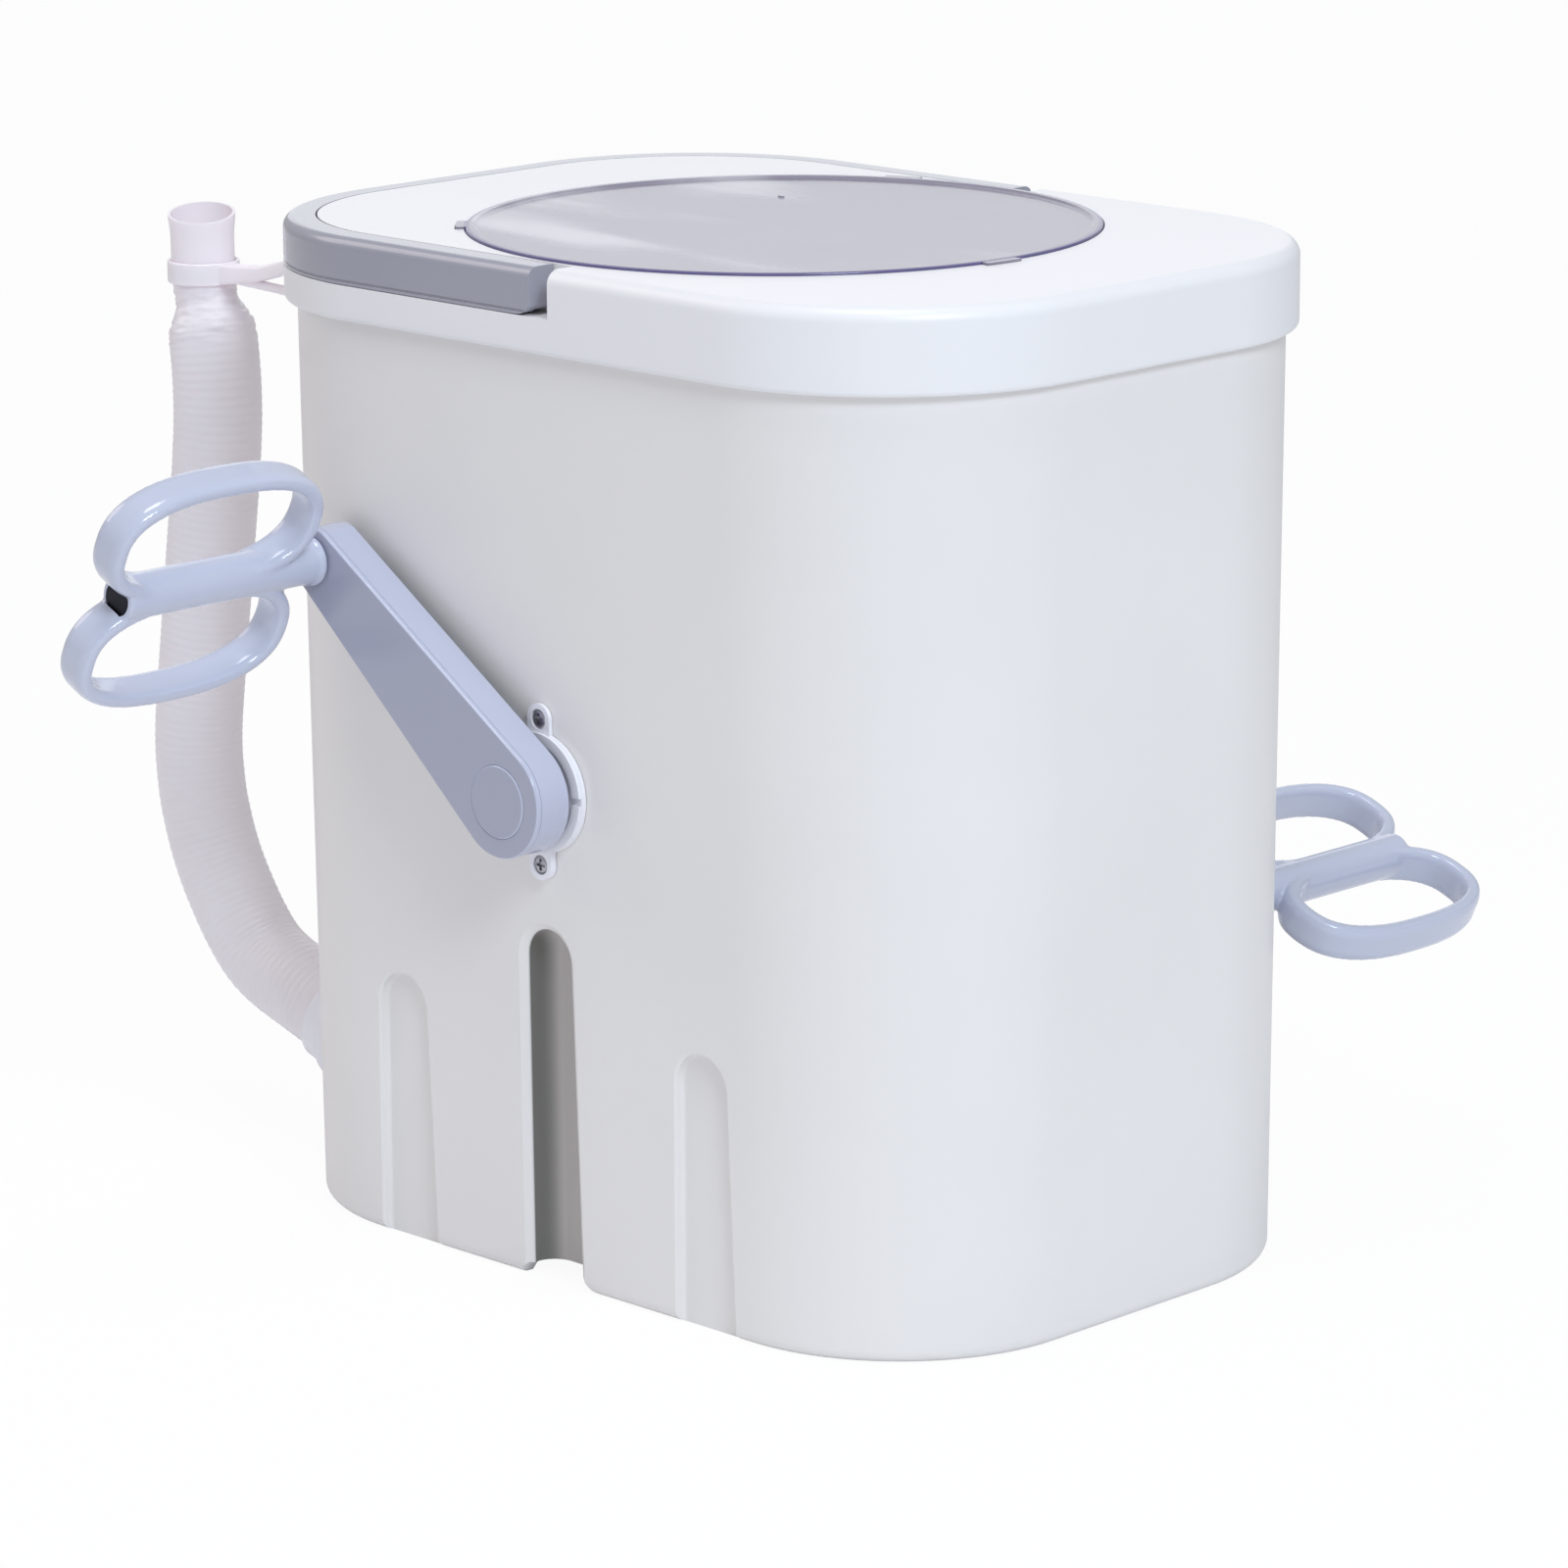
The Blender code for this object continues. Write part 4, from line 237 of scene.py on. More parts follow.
def bump(tree, height, strength, distance):
    inputs = {"Strength": strength, "Distance": distance, "Height": height}
    return addNode(tree, "ShaderNodeBump", inputs)["Normal"]


def newMaterial(name):
    material = bpy.data.materials.new(name)
    material.use_nodes = True
    return material, material.node_tree, material.node_tree.nodes["Principled BSDF"]


def newTree(name, sockets):
    tree = bpy.data.node_groups.new(name, "GeometryNodeTree")
    keys = {}
    for key, kind in {"Geometry": "Geometry", **sockets, "Material": "Material"}.items():
        socket = tree.interface.new_socket(name=key, in_out="INPUT", socket_type="NodeSocket" + kind)
        keys[key] = socket.identifier
    tree.interface.new_socket(name="Geometry", in_out="OUTPUT", socket_type="NodeSocketGeometry")
    return tree, keys, addNode(tree, "NodeGroupInput")


def endTree(tree, geometry, material):
    whole = addNode(tree, "GeometryNodeRealizeInstances", {"Geometry": geometry})["Geometry"]
    painted = addNode(tree, "GeometryNodeSetMaterial", {"Geometry": whole, "Material": material})["Geometry"]
    addNode(tree, "NodeGroupOutput", {"Geometry": painted})


def runTree(thing, tree, keys, values):
    modifier = modify(thing, "NODES", node_group=tree)
    for key, value in values.items():
        modifier[keys[key]] = value
    bakeModifiers(thing)


# Materials
plasticLook = {
    "cloud": (9, 3), "cloudRange": (0.35, 0.65), "polish": (18, 2), "polishSpread": 0.03, "grain": (420, 2),
    "grainDepth": 0.0001, "ior": 1.49, "coatRoughness": 0.12, "glowReach": (0.010, 0.007, 0.008),
}
steelLook = {"lines": (60, 4, (6, 1, 6)), "spread": (-0.08, 0.10), "grain": (0.08, 0.0002)}


def mouldedPlastic(name, colour, shadeTo, roughness, grain=0.1, coat=0.0, glow=0.0):
    look = plasticLook
    material, tree, shader = newMaterial(name)
    share = mapRange(tree, noise(tree, *look["cloud"]), *look["cloudRange"])
    low, high = roughness - look["polishSpread"], roughness + look["polishSpread"]
    feed(tree, shader, {
        "Base Color": mixColour(tree, share, shadeTo, colour), "IOR": look["ior"],
        "Roughness": mapRange(tree, noise(tree, *look["polish"]), 0, 1, low, high),
        "Normal": bump(tree, noise(tree, *look["grain"]), grain, look["grainDepth"]),
        "Coat Weight": coat, "Coat Roughness": look["coatRoughness"],
    })
    if glow:
        feed(tree, shader, {"Subsurface Weight": glow, "Subsurface Radius": look["glowReach"],
                            "Subsurface Scale": 1.0})
    return material


def machinedSteel(name, colour, roughness):
    material, tree, shader = newMaterial(name)
    lines = noise(tree, *steelLook["lines"])
    low, high = (roughness + spread for spread in steelLook["spread"])
    rough, grain = mapRange(tree, lines, 0, 1, low, high), bump(tree, lines, *steelLook["grain"])
    feed(tree, shader, {"Base Color": colour, "Metallic": 1.0, "Roughness": rough, "Normal": grain})
    return material


# a mask gives a share and a colour from the place and the way a face looks
def paintOver(material, mask):
    tree = material.node_tree
    shader = tree.nodes["Principled BSDF"]
    plain = shader.inputs["Base Color"].links[0].from_socket
    place = addNode(tree, "ShaderNodeTexCoord")
    spot, tilt = (addNode(tree, "ShaderNodeSeparateXYZ", {"Vector": place[key]})
                  for key in ("Object", "Normal"))
    share, colour = mask(tree, spot, tilt)
    feed(tree, shader, {"Base Color": mixColour(tree, share, plain, colour)})


whiteBody = mouldedPlastic("white bucket plastic", (0.84, 0.815, 0.805), (0.82, 0.795, 0.785), 0.36)
whiteDeck = mouldedPlastic("cool white deck plastic", (0.86, 0.848, 0.865), (0.85, 0.838, 0.855), 0.34, 0.05)
greyHandle = mouldedPlastic("grey handle plastic", (0.35, 0.35, 0.41), (0.33, 0.33, 0.39), 0.22, 0.05, 0.6)
blueGrey = mouldedPlastic("blue grey crank plastic", (0.51, 0.53, 0.66), (0.49, 0.51, 0.64), 0.20, 0.05, 0.5)
paleBlue = mouldedPlastic("pale blue pedal plastic", (0.57, 0.60, 0.73), (0.55, 0.58, 0.71), 0.16, 0.05, 0.6)
whiteFlange = mouldedPlastic("white flange plastic", (0.88, 0.87, 0.92), (0.86, 0.85, 0.90), 0.30)
milkyHose = mouldedPlastic("milky hose plastic", (0.99, 0.90, 0.96), (0.98, 0.88, 0.95), 0.38, 0.2, 0.0, 0.3)
basketPlastic = mouldedPlastic("basket plastic", (0.72, 0.71, 0.74), (0.70, 0.69, 0.72), 0.38)
housingPlastic = mouldedPlastic("housing plastic", (0.50, 0.51, 0.55), (0.47, 0.48, 0.52), 0.45, 0.2)
gearPlastic = mouldedPlastic("gear plastic", (0.80, 0.77, 0.68), (0.76, 0.73, 0.64), 0.40)
darkRubber = mouldedPlastic("dark rubber", (0.035, 0.035, 0.038), (0.03, 0.03, 0.032), 0.75, 0.4)
bushPlastic = mouldedPlastic("bush plastic", (0.10, 0.10, 0.11), (0.09, 0.09, 0.10), 0.45)
steel = machinedSteel("machined steel", (0.56, 0.57, 0.58), 0.30)
screwSteel = machinedSteel("screw steel", (0.44, 0.43, 0.46), 0.30)
# painted shade: near-black steel for the pedal axles, whose ends lie in the shadowed hollows of the pedal
# sleeves
shadeDarkSteel = machinedSteel("steel painted dark as shade", (0.035, 0.035, 0.045), 0.42)

# the CAD pieces that stay
for material, names in (
        (steel, "crank_shaft output_shaft basket_nut handle_pivot_front handle_pivot_rear crank_bolt_front "
                "crank_bolt_rear housing_screw_1 housing_screw_2 housing_screw_3 housing_screw_4"),
        # painted shade: the pedal axles are coloured near black to stand for the shadow at the sleeves' ends
        (shadeDarkSteel, "pedal_axle_front pedal_axle_rear"),
        (gearPlastic, "bevel_wheel bevel_pinion"),
        (housingPlastic, "gear_housing_lower gear_housing_upper"),
        (bushPlastic, "output_bush shaft_bush_front shaft_bush_rear"),
        (darkRubber, "output_seal shaft_seal_front shaft_seal_rear cover_seal spigot_gasket"),
        (whiteFlange, "spigot_nut")):
    for node in names.split():
        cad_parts[node].material_slots[0].material = material
print("materials done")

# Bucket
bucket = {
    "height": 0.3782, "lengthLow": 0.3735, "lengthTop": 0.3760, "widthLow": 0.2555, "widthTop": 0.2700,
    "cornerLow": 0.083, "cornerTop": 0.090, "wall": 0.003, "edge": 0.005, "floor": 0.034, "bevel": 0.0025,
    "underside": 0.030, "footWall": 0.0075, "beadHeight": 0.004, "beadReach": 0.0008, "levels": 6,
    "bossRadius": 0.030, "ribHalf": 0.0015, "ribLift": 0.004, "bushRadius": 0.0103, "bushWall": 0.003,
    "bushDepth": 0.007, "bushInset": 0.0015, "spigotHole": 0.0128, "spigotHoleEnd": -0.175,
}
grooves = {
    "spacing": 0.083, "shift": -0.0018,
    "side": {"top": 0.1095, "halfTop": 0.0132, "halfLow": 0.0158, "depth": 0.004, "fillet": 0.0016,
             "lip": 0.0011},
    "middle": {"top": 0.1425, "halfTop": 0.0121, "halfLow": 0.0139, "depth": 0.013, "fillet": 0.0090,
               "lip": 0.0032},
    "lipShares": ((0.95, 0.01), (0.88, 0.05), (0.12, 0.58), (0.03, 0.68), (0.0, 0.80)),
    "notchHeight": 0.0055, "notchBend": 0.6, "notchFlare": 0.0040, "notchSlope": 0.0025,
    # painted shade in the middle grooves: the depths and tilts where it falls, then its colours on the back
    # and side faces
    "notchReach": (0.1065, 0.14), "paintedShadeDepths": (0.0023, 0.0034), "paintedShadeTilts": (0.2, 0.9),
    "paintedShadeBack": (0.58, 0.54, 0.52), "paintedShadeSide": (0.19, 0.183, 0.17),
}


def bucketSize(key, height):
    low, top = bucket[key + "Low"], bucket[key + "Top"]
    return low + (top - low) * (height / bucket["height"])


def bucketRing(height, inset=0.0):
    length, width, corner = (bucketSize(key, height) for key in ("length", "width", "corner"))
    return roundRing(length - 2 * inset, width - 2 * inset, corner - inset, height)


def bucketSkin():
    return loft("bucket skin", [bucketRing(0, -fit), bucketRing(bucket["height"], -fit)])


def wallReach(height):
    return bucketSize("width", height) / 2


# each level is how far the groove's outline grows there and how deep it lies
def grooveStack(middle, groove, side, skin):
    lip, fillet, depth = groove["lip"], groove["fillet"], groove["depth"]
    middle += grooves["shift"]
    levels = [(lip, -past), (lip, 0.0)]
    levels += [(lip * across, lip * down) for across, down in grooves["lipShares"]]
    levels += arc((-fillet, depth - fillet), fillet, 0, 90, 6)
    rings = []
    for grow, down in levels:
        radius, foot = groove["halfTop"] + grow + skin, groove["halfLow"] + grow + skin
        outline = arc((middle, groove["top"] - groove["halfTop"]), radius, 0, 180, 32)
        outline += [(middle - foot, -past), (middle + foot, -past)]
        inset = down + skin if down > 0 else down
        rings.append([(x, side * (wallReach(z) - inset), z) for x, z in outline])
    return rings


def grooveCutter(name, skin=0.0):
    spots = ((0, "middle"), (-grooves["spacing"], "side"), (grooves["spacing"], "side"))
    return loft(name, *(grooveStack(middle, grooves[kind], side, skin)
                        for side in sides.values() for middle, kind in spots))


# painted shade deep inside the middle grooves, darker still on their side faces
def paintedRecessShadeMask(tree, spot, tilt):
    middle = grooves["middle"]
    edge, size = middle["lip"], partial(maths, tree, "ABSOLUTE")  # size drops the sign
    half, top = middle["halfLow"] + edge, middle["top"] + edge
    sideways = mapRange(tree, size(tilt["X"]), *grooves["paintedShadeTilts"], smooth=True)
    reach = mapRange(tree, spot["Z"], 0, bucket["height"], bucket["widthLow"] / 2, bucket["widthTop"] / 2)
    depth = maths(tree, "SUBTRACT", reach, size(spot["Y"]))
    off = size(maths(tree, "SUBTRACT", spot["X"], grooves["shift"]))
    share = mapRange(tree, depth, *grooves["paintedShadeDepths"], smooth=True)
    for value, low, high in ((depth, 2 * middle["depth"], middle["depth"] + edge), (off, half, half - edge),
                             (spot["Z"], top, top - edge)):
        share = maths(tree, "MULTIPLY", share, mapRange(tree, value, low, high))
    return share, mixColour(tree, sideways, grooves["paintedShadeBack"], grooves["paintedShadeSide"])


def makeBucket():
    edge, height, wall, floor, bevel = (bucket[key] for key in ("edge", "height", "wall", "floor", "bevel"))
    rings = [bucketRing(edge * (1 - rise), edge * (1 - lean)) for rise, lean in arc((0, 0), 1, 0, 90, 8)]
    beadLow, levels = height - bucket["beadHeight"], bucket["levels"]
    rings += [bucketRing(edge + (beadLow - edge) * step / levels) for step in range(1, levels + 1)]
    rings += [bucketRing(beadLow, -bucket["beadReach"]), bucketRing(height, -bucket["beadReach"])]
    body = loft("outer_bucket_shell", rings)
    inside = loft("inside", [bucketRing(floor, wall + bevel), bucketRing(floor + bevel, wall),
                             bucketRing(height + past, wall)])
    carve(inside, grooveCutter("groove backs", wall))
    under = loft("under", [bucketRing(level, bucket["footWall"]) for level in (-past, bucket["underside"])])
    rib, lift = bucket["ribHalf"], bucket["ribLift"]
    carve(under, grooveCutter("groove feet", wall),
          rod("foot boss", bucket["bossRadius"], -far, far, steps=96),
          block("long rib", (-far, -rib, lift), (far, rib, far)),
          block("cross rib", (-rib, -far, lift), (rib, far, far)))
    carve(body, grooveCutter("groove cuts"), inside, under)
    rise, slope, bend = grooves["notchHeight"], grooves["notchSlope"], grooves["notchBend"]
    notch = grooves["middle"]["halfLow"] + grooves["notchFlare"]
    outline = [(notch + slope, -past), (notch + slope, 0), (notch, bend * rise), (notch - slope, rise)]
    outline += [(-x, z) for x, z in reversed(outline)]
    face, radius = wallReach(shaftCentre[2]), bucket["bushRadius"]
    inner = face - wall - bucket["bushDepth"]
    for side in sides.values():
        reach = [side * place for place in grooves["notchReach"]]
        carve(body, loft("notch", prism("Y", outline, reach, (grooves["shift"], 0, 0))))
        fuse(body, rod("bush boss", radius + bucket["bushWall"], inner, face - bucket["bushInset"], "Y",
                       shaftCentre, side=side))
        carve(body, rod("bush bore", radius, inner - past, face + past, "Y", shaftCentre, side=side))
    carve(body, rod("spigot hole", bucket["spigotHole"], -far, bucket["spigotHoleEnd"], "X", spigotCentre))
    # painted shade: darkens the bucket's colour inside the middle grooves
    paintOver(whiteBody, paintedRecessShadeMask)
    finishPiece(body, "base", "white_plastic", whiteBody, "outer_bucket")


makeBucket()
print("bucket done")

# Deck
deck = {
    "length": 0.384, "width": 0.2772, "corner": 0.091, "top": 0.400, "low": 0.3674, "edge": 0.0058,
    "lipEdge": 0.0022, "wall": 0.0022, "plate": 0.003, "lip": 0.005, "stepTop": 0.3815, "stepInset": 0.0135,
    "stepEnd": 0.013, "coverRadius": 0.1233, "opening": 0.1165, "rimDepth": 0.0115, "rimWall": 0.003,
    "coverSeat": 0.3949, "softEdge": 0.0006,
}
tabs = {"spans": ((-5, 3.8), (112, 3.5), (225, 3.5)), "reach": 0.0035, "thickness": 0.0018, "rise": 0.0009}


def deckRing(height, inset=0.0):
    return roundRing(deck["length"] - 2 * inset, deck["width"] - 2 * inset, deck["corner"] - inset, height)


def deckRings(inset, *heights):
    return [deckRing(height, inset) for height in heights]


def roundedTop(top, inset, radius, steps):
    return [deckRing(top - radius + rise, inset + radius - lean)
            for lean, rise in arc((0, 0), radius, 0, 90, steps)]


def tabStacks(extra, low, high):
    stacks = []
    inner = deck["coverRadius"] - tabs["reach"]
    outer = deck["coverRadius"] + tabs["reach"] + extra
    turn = math.degrees(extra / deck["coverRadius"])
    for angle, half in tabs["spans"]:
        start, end = angle - half - turn, angle + half + turn
        outline = arc((0, 0), outer, start, end, 10) + arc((0, 0), inner, end, start, 10)
        stacks.append(prism("Z", outline, (low, high)))
    return stacks


def makeDeck():
    top, low, edge, lipEdge, wall = (deck[key] for key in ("top", "low", "edge", "lipEdge", "wall"))
    lipTop, plateLow, stepLow = low + deck["lip"], top - deck["plate"], deck["stepTop"] - deck["plate"]
    rings = [deckRing(low + lipEdge * (1 - rise), lipEdge * (1 - lean))
             for rise, lean in arc((0, 0), 1, 0, 90, 5)]
    rings += [deckRing(low + lipEdge + (top - edge - low - lipEdge) * step / 3) for step in (1, 2)]
    body = loft("top_frame_shell", rings + roundedTop(top, 0, edge, 10))
    carve(body, loft("lip room", [bucketRing(low - past, -fit), bucketRing(lipTop + fit, -fit)]))
    carve(body, loft("skirt room", deckRings(wall, lipTop, stepLow)))
    seat, inset = deck["coverRadius"] + play, deck["stepInset"]
    middle = loft("middle room", deckRings(inset + wall, lipTop, plateLow))
    full = loft("full room", [deckRing(lipTop, wall)] + roundedTop(plateLow, wall, edge - wall, 4))
    carve(full, block("step side", (-far, -far, 0), (deck["stepEnd"] + wall, far, far)))
    for room in (middle, full):
        carve(room, rod("rim", seat + deck["rimWall"], top - deck["rimDepth"], far, steps=144))
        carve(body, room)
    step = block("step", (-far, -far, deck["stepTop"]), (deck["stepEnd"], far, top + past))
    carve(step, loft("step middle", deckRings(inset, low, far)))
    carve(body, step, rod("cover seat", seat, deck["coverSeat"], top + past, steps=144),
          rod("opening", deck["opening"], low - past, top + past, steps=144),
          loft("tab seats", *tabStacks(play, top - tabs["thickness"], top + past)))
    roundEdges(body, deck["softEdge"])
    finishPiece(body, "base", "deck_plastic", whiteDeck, "top_frame")


makeDeck()
print("deck done")

# Lift-out cover
cover = {
    "top": 0.4010, "thickness": 0.0043, "dish": 0.0012, "lipDepth": 0.006, "lipWidth": 0.002,
    "rim": ((-0.0054, 1.0), (-0.0042, 0.5), (-0.0034, 0.0)),  # from the radius, share of the dish
    "rimEdge": ((-0.0009, 0), (-0.0003, -0.0003), (0, -0.0009)),
    "marks": (-0.0507258, -0.0492742), "markY": 0.049, "markRadius": 0.0008, "markHeights": (-0.002, -0.0006),
    "colour": (0.43, 0.395, 0.49), "edgeColour": (0.19, 0.17, 0.37), "edgeIn": (0.1210, 0.1222),
    # the streak values on the next lines paint light reflections into the cover's colour
    "edgeOut": (0.1234, 0.1240), "paintedReflectionStreaks": (5, 2, (1.0, 3.5, 1.0)), "paintedReflectionRange": (0.52, 0.74),
    "paintedReflectionStrength": 0.7, "paintedReflectionColour": (0.95, 0.94, 0.98), "haze": 14, "roughness": (0.10, 0.18), "see": 0.38,
    "ior": 1.46,
}


def smokyClear(name):
    material, tree, shader = newMaterial(name)
    place = addNode(tree, "ShaderNodeTexCoord")["Object"]
    flat = addNode(tree, "ShaderNodeVectorMath", {0: place, 1: (1, 1, 0)}, operation="MULTIPLY")["Vector"]
    radius = addNode(tree, "ShaderNodeVectorMath", {0: flat}, operation="LENGTH")["Value"]
    edge = maths(tree, "MULTIPLY", mapRange(tree, radius, *cover["edgeIn"], smooth=True),
                 mapRange(tree, radius, *cover["edgeOut"], 1, 0, smooth=True))
    # painted reflections: light streaks mixed into the cover's colour
    paintedReflectionStreaks = noise(tree, *cover["paintedReflectionStreaks"])
    paintedReflectionShare = mapRange(tree, paintedReflectionStreaks, *cover["paintedReflectionRange"], 0, cover["paintedReflectionStrength"], smooth=True)
    disc = mixColour(tree, paintedReflectionShare, cover["colour"], cover["paintedReflectionColour"])
    feed(tree, shader, {
        "Base Color": mixColour(tree, edge, disc, cover["edgeColour"]), "IOR": cover["ior"],
        "Roughness": mapRange(tree, noise(tree, cover["haze"]), 0, 1, *cover["roughness"]),
        "Transmission Weight": cover["see"],
    })
    return material


def makeCover():
    top, radius, dish = cover["top"], deck["coverRadius"], cover["dish"]
    under = top - cover["thickness"]
    lipOuter, lipLow = deck["opening"] - play, under - cover["lipDepth"]
    lipInner = lipOuter - cover["lipWidth"]
    profile = [(0, top - dish)] + [(radius + out, top - dish * share) for out, share in cover["rim"]]
    profile += [(radius + out, top + up) for out, up in cover["rimEdge"]]
    profile += [(radius, under), (lipOuter, under), (lipOuter, lipLow), (lipInner, lipLow), (lipInner, under),
                (0, under)]
    body = turned("clear_cover_disc", profile, steps=144)
    fuse(body, loft("tabs", *tabStacks(0, deck["top"] - tabs["thickness"] + fit, deck["top"] + tabs["rise"])))
    low, high = (top + height for height in cover["markHeights"])
    for x in cover["marks"]:  # two small moulding marks
        fuse(body, rod("mark", cover["markRadius"], low, high, centre=(x, cover["markY"], 0), steps=16))
    finishPiece(body, "cover", "clear_plastic", smokyClear("smoky clear plastic"), "clear_cover")


makeCover()
print("cover done")

# Carry handle
handle = {
    "low": 0.3818, "strip": 0.0128, "stripThickness": 0.004, "skirt": 0.0050, "end": 0.003, "endWall": 0.0018,
    "edge": 0.0045, "pivot": (-0.004, 0, 0.3908), "pivotLift": 0.0089, "pinRadius": 0.0022,
    "pinReach": (0.11, 0.1371), "line": 0.0010, "softEdge": 0.0006,
    "lineShares": ((0, 0), (1, 0), (1.2, 0.5), (1.8, 0.5), (2, 0)),
}


def makeHandle():
    low, top, line, end, pivot = handle["low"], deck["top"], handle["line"], handle["end"], handle["pivot"]
    rings = [deckRing(low + line * up, line * inset) for up, inset in handle["lineShares"]]
    rings += [deckRing((low + top - handle["edge"]) / 2)] + roundedTop(top, 0, handle["edge"], 10)
    body = loft("carry_handle_bow", rings)
    carve(body, loft("middle", deckRings(handle["strip"], low - past, top + past)))
    under = loft("under", deckRings(handle["skirt"], low - past, top - handle["stripThickness"]))
    carve(body, carve(under, block("end wall", (end - handle["endWall"], -far, 0), (far, far, far))))
    carve(body, block("end", (end, -far, 0), (far, far, far)))
    corner = block("corner", (pivot[0], -far, 0), (far, far, pivot[2]))
    kept = rod("kept corner", handle["pivotLift"], -2 * far, 2 * far, "Y", pivot, steps=96)
    carve(body, carve(corner, kept))
    for side in sides.values():
        carve(body, rod("pin bore", handle["pinRadius"] + play, *handle["pinReach"], "Y", pivot, 32, side))
    roundEdges(body, handle["softEdge"], 3)
    finishPiece(body, "handle", "grey_plastic", greyHandle, "carry_handle")


makeHandle()
print("handle done")

# Crank arms and their caps
crank = {
    "throw": 0.129, "angle": 142.5, "hub": 0.0220, "tip": 0.0128, "back": 0.1390, "face": 0.15578,
    "edge": 0.0010, "backEdge": 0.0005, "seamBack": 0.0021, "seamDepth": 0.0004, "seamWidth": 0.0005,
    # the face colour and levels set the painted shade on the arms' faces
    "shell": 0.003, "cells": 3, "rib": 0.002, "faceShadeColour": (0.385, 0.393, 0.495), "faceShadeLevels": (0.80, 0.97),
    "cap": 0.0142, "capThickness": 0.0022, "capProud": 0.0004, "capEdge": 0.0005, "capGap": 0.0001,
    "capBevel": 0.0003, "square": 0.0103, "squareEnd": 0.0068, "bolt": 0.0033, "boltHead": 0.0066,
    "boltHeadDepth": 0.0048, "axle": 0.0043, "axleDepth": 0.0123,
}


def onArm(side, along, across, place=0.0):
    lean = math.radians(crank["angle"] if side < 0 else crank["angle"] + 180)
    cosine, sine = math.cos(lean), math.sin(lean)
    spot = (along * cosine - across * sine, along * sine + across * cosine)
    return alongAxis("Y", spot, side * place, shaftCentre)


def pedalCentre(side):
    return Vector(onArm(side, crank["throw"], 0))


def armRing(side, place, inset):
    lean = math.degrees(math.asin((crank["hub"] - crank["tip"]) / crank["throw"]))
    outline = arc((crank["throw"], 0), crank["tip"] - inset, lean - 90, 90 - lean, 40)
    outline += arc((0, 0), crank["hub"] - inset, 90 - lean, 270 + lean, 40)
    return [onArm(side, along, across, place) for along, across in outline]


# painted shade: the arms' faces are coloured darker than their sides
def paintedFaceShadeMask(tree, spot, tilt):
    facing = mapRange(tree, maths(tree, "ABSOLUTE", tilt["Y"]), *crank["faceShadeLevels"], smooth=True)
    return facing, crank["faceShadeColour"]


def makeArm(name, side):
    back, face, edge, hub, shell = (crank[key] for key in ("back", "face", "edge", "hub", "shell"))
    seam, width, bevel, tip = face - crank["seamBack"], crank["seamWidth"], crank["backEdge"], crank["tip"]
    levels = [(back, bevel), (back + bevel, 0)]
    levels += [(seam - width, 0), (seam - width / 2, crank["seamDepth"]), (seam, 0)]
    levels += [(face - edge + rise, edge - lean) for lean, rise in arc((0, 0), edge, 0, 90, 5)]
    body = loft(f"crank_arm_{name}_shell", [armRing(side, place, inset) for place, inset in levels])
    cells, rib, slope = crank["cells"], crank["rib"], (hub - tip) / crank["throw"]
    cell = (crank["throw"] - tip - hub - (cells - 1) * rib) / cells
    stacks = []
    for index in range(cells):
        start = hub + index * (cell + rib)
        corners = [(along, up * (hub - slope * along - shell))
                   for along, up in ((start, -1), (start + cell, -1), (start + cell, 1), (start, 1))]
        stacks.append([[onArm(side, *corner, place) for corner in corners]
                       for place in (back - past, face - shell)])
    carve(body, loft("back cells", *stacks))
    seat, half, height = face - crank["capThickness"], crank["square"] / 2, shaftCentre[2]
    carve(body, block("square", (-half, side * (back - past), height - half),
                      (half, side * (seat - crank["squareEnd"]), height + half)))
    bolt, head, deep = crank["bolt"], crank["boltHead"], seat - crank["boltHeadDepth"]
    cap, gap, bevel = crank["cap"], crank["capGap"], crank["capBevel"]
    rim, high = cap + gap, face + past
    profile = ((0, seat - past), (bolt, seat - past), (bolt, deep), (head, deep), (head, seat), (rim, seat),
               (rim, face + gap - bevel), (rim + bevel, face + gap), (rim + bevel, high), (0, high))
    carve(body, turned("cap seat", profile, "Y", shaftCentre, side=side),
          rod("axle hole", crank["axle"], face - crank["axleDepth"], high, "Y", pedalCentre(side), 32, side))
    finishPiece(body, "crank", "blue_grey_plastic", blueGrey, f"crank_arm_{name}", angle=28)
    low, top, bevel = seat + fit, face + crank["capProud"], crank["capEdge"]
    profile = ((0, low), (cap, low), (cap, top - bevel), (cap - bevel, top), (0, top))
    disc = turned(f"crank_cap_{name}_disc", profile, "Y", shaftCentre, side=side)
    finishPiece(disc, "crank", "blue_grey_plastic", blueGrey, f"crank_cap_{name}")


# painted shade on the crank arms' faces
paintOver(blueGrey, paintedFaceShadeMask)
for name, side in sides.items():
    makeArm(name, side)
print("crank arms done")

# Pedals
pedal = {
    "collar": 0.0098, "collarLength": 0.009, "halfLength": 0.0480, "halfWidth": 0.0230, "spacing": 0.0490,
    "collarShape": ((-0.0006, 0), (0, 0.0006), (0, 0.0022), (-0.0008, 0.0028), (-0.0008, 0.0040)),
    "power": 2.5, "band": 0.0155, "thickness": 0.0066, "sleeve": 0.0088, "sleeveShort": 0.014,
    "sleeveEdge": 0.0008, "points": 128, "slants": {"front": 244.3, "rear": 337.2}, "voxel": 0.0007,
    "smooth": 6, "bore": 0.0044, "boreHead": 0.0066, "boreHeadDepth": 0.0034, "borePast": 0.001,
    "section": ((-0.72, -0.93), (-0.96, -0.62), (-1.0, 0.0), (-0.96, 0.62), (-0.72, 0.93), (0.0, 1.0),
                (0.66, 0.92), (0.88, 0.70), (0.90, 0.62), (1.0, 0.56), (1.0, -0.56), (0.90, -0.62),
                (0.88, -0.70), (0.66, -0.92), (0.0, -1.0)),
}


def signedPower(value, power):
    return math.copysign(abs(value) ** power, value)


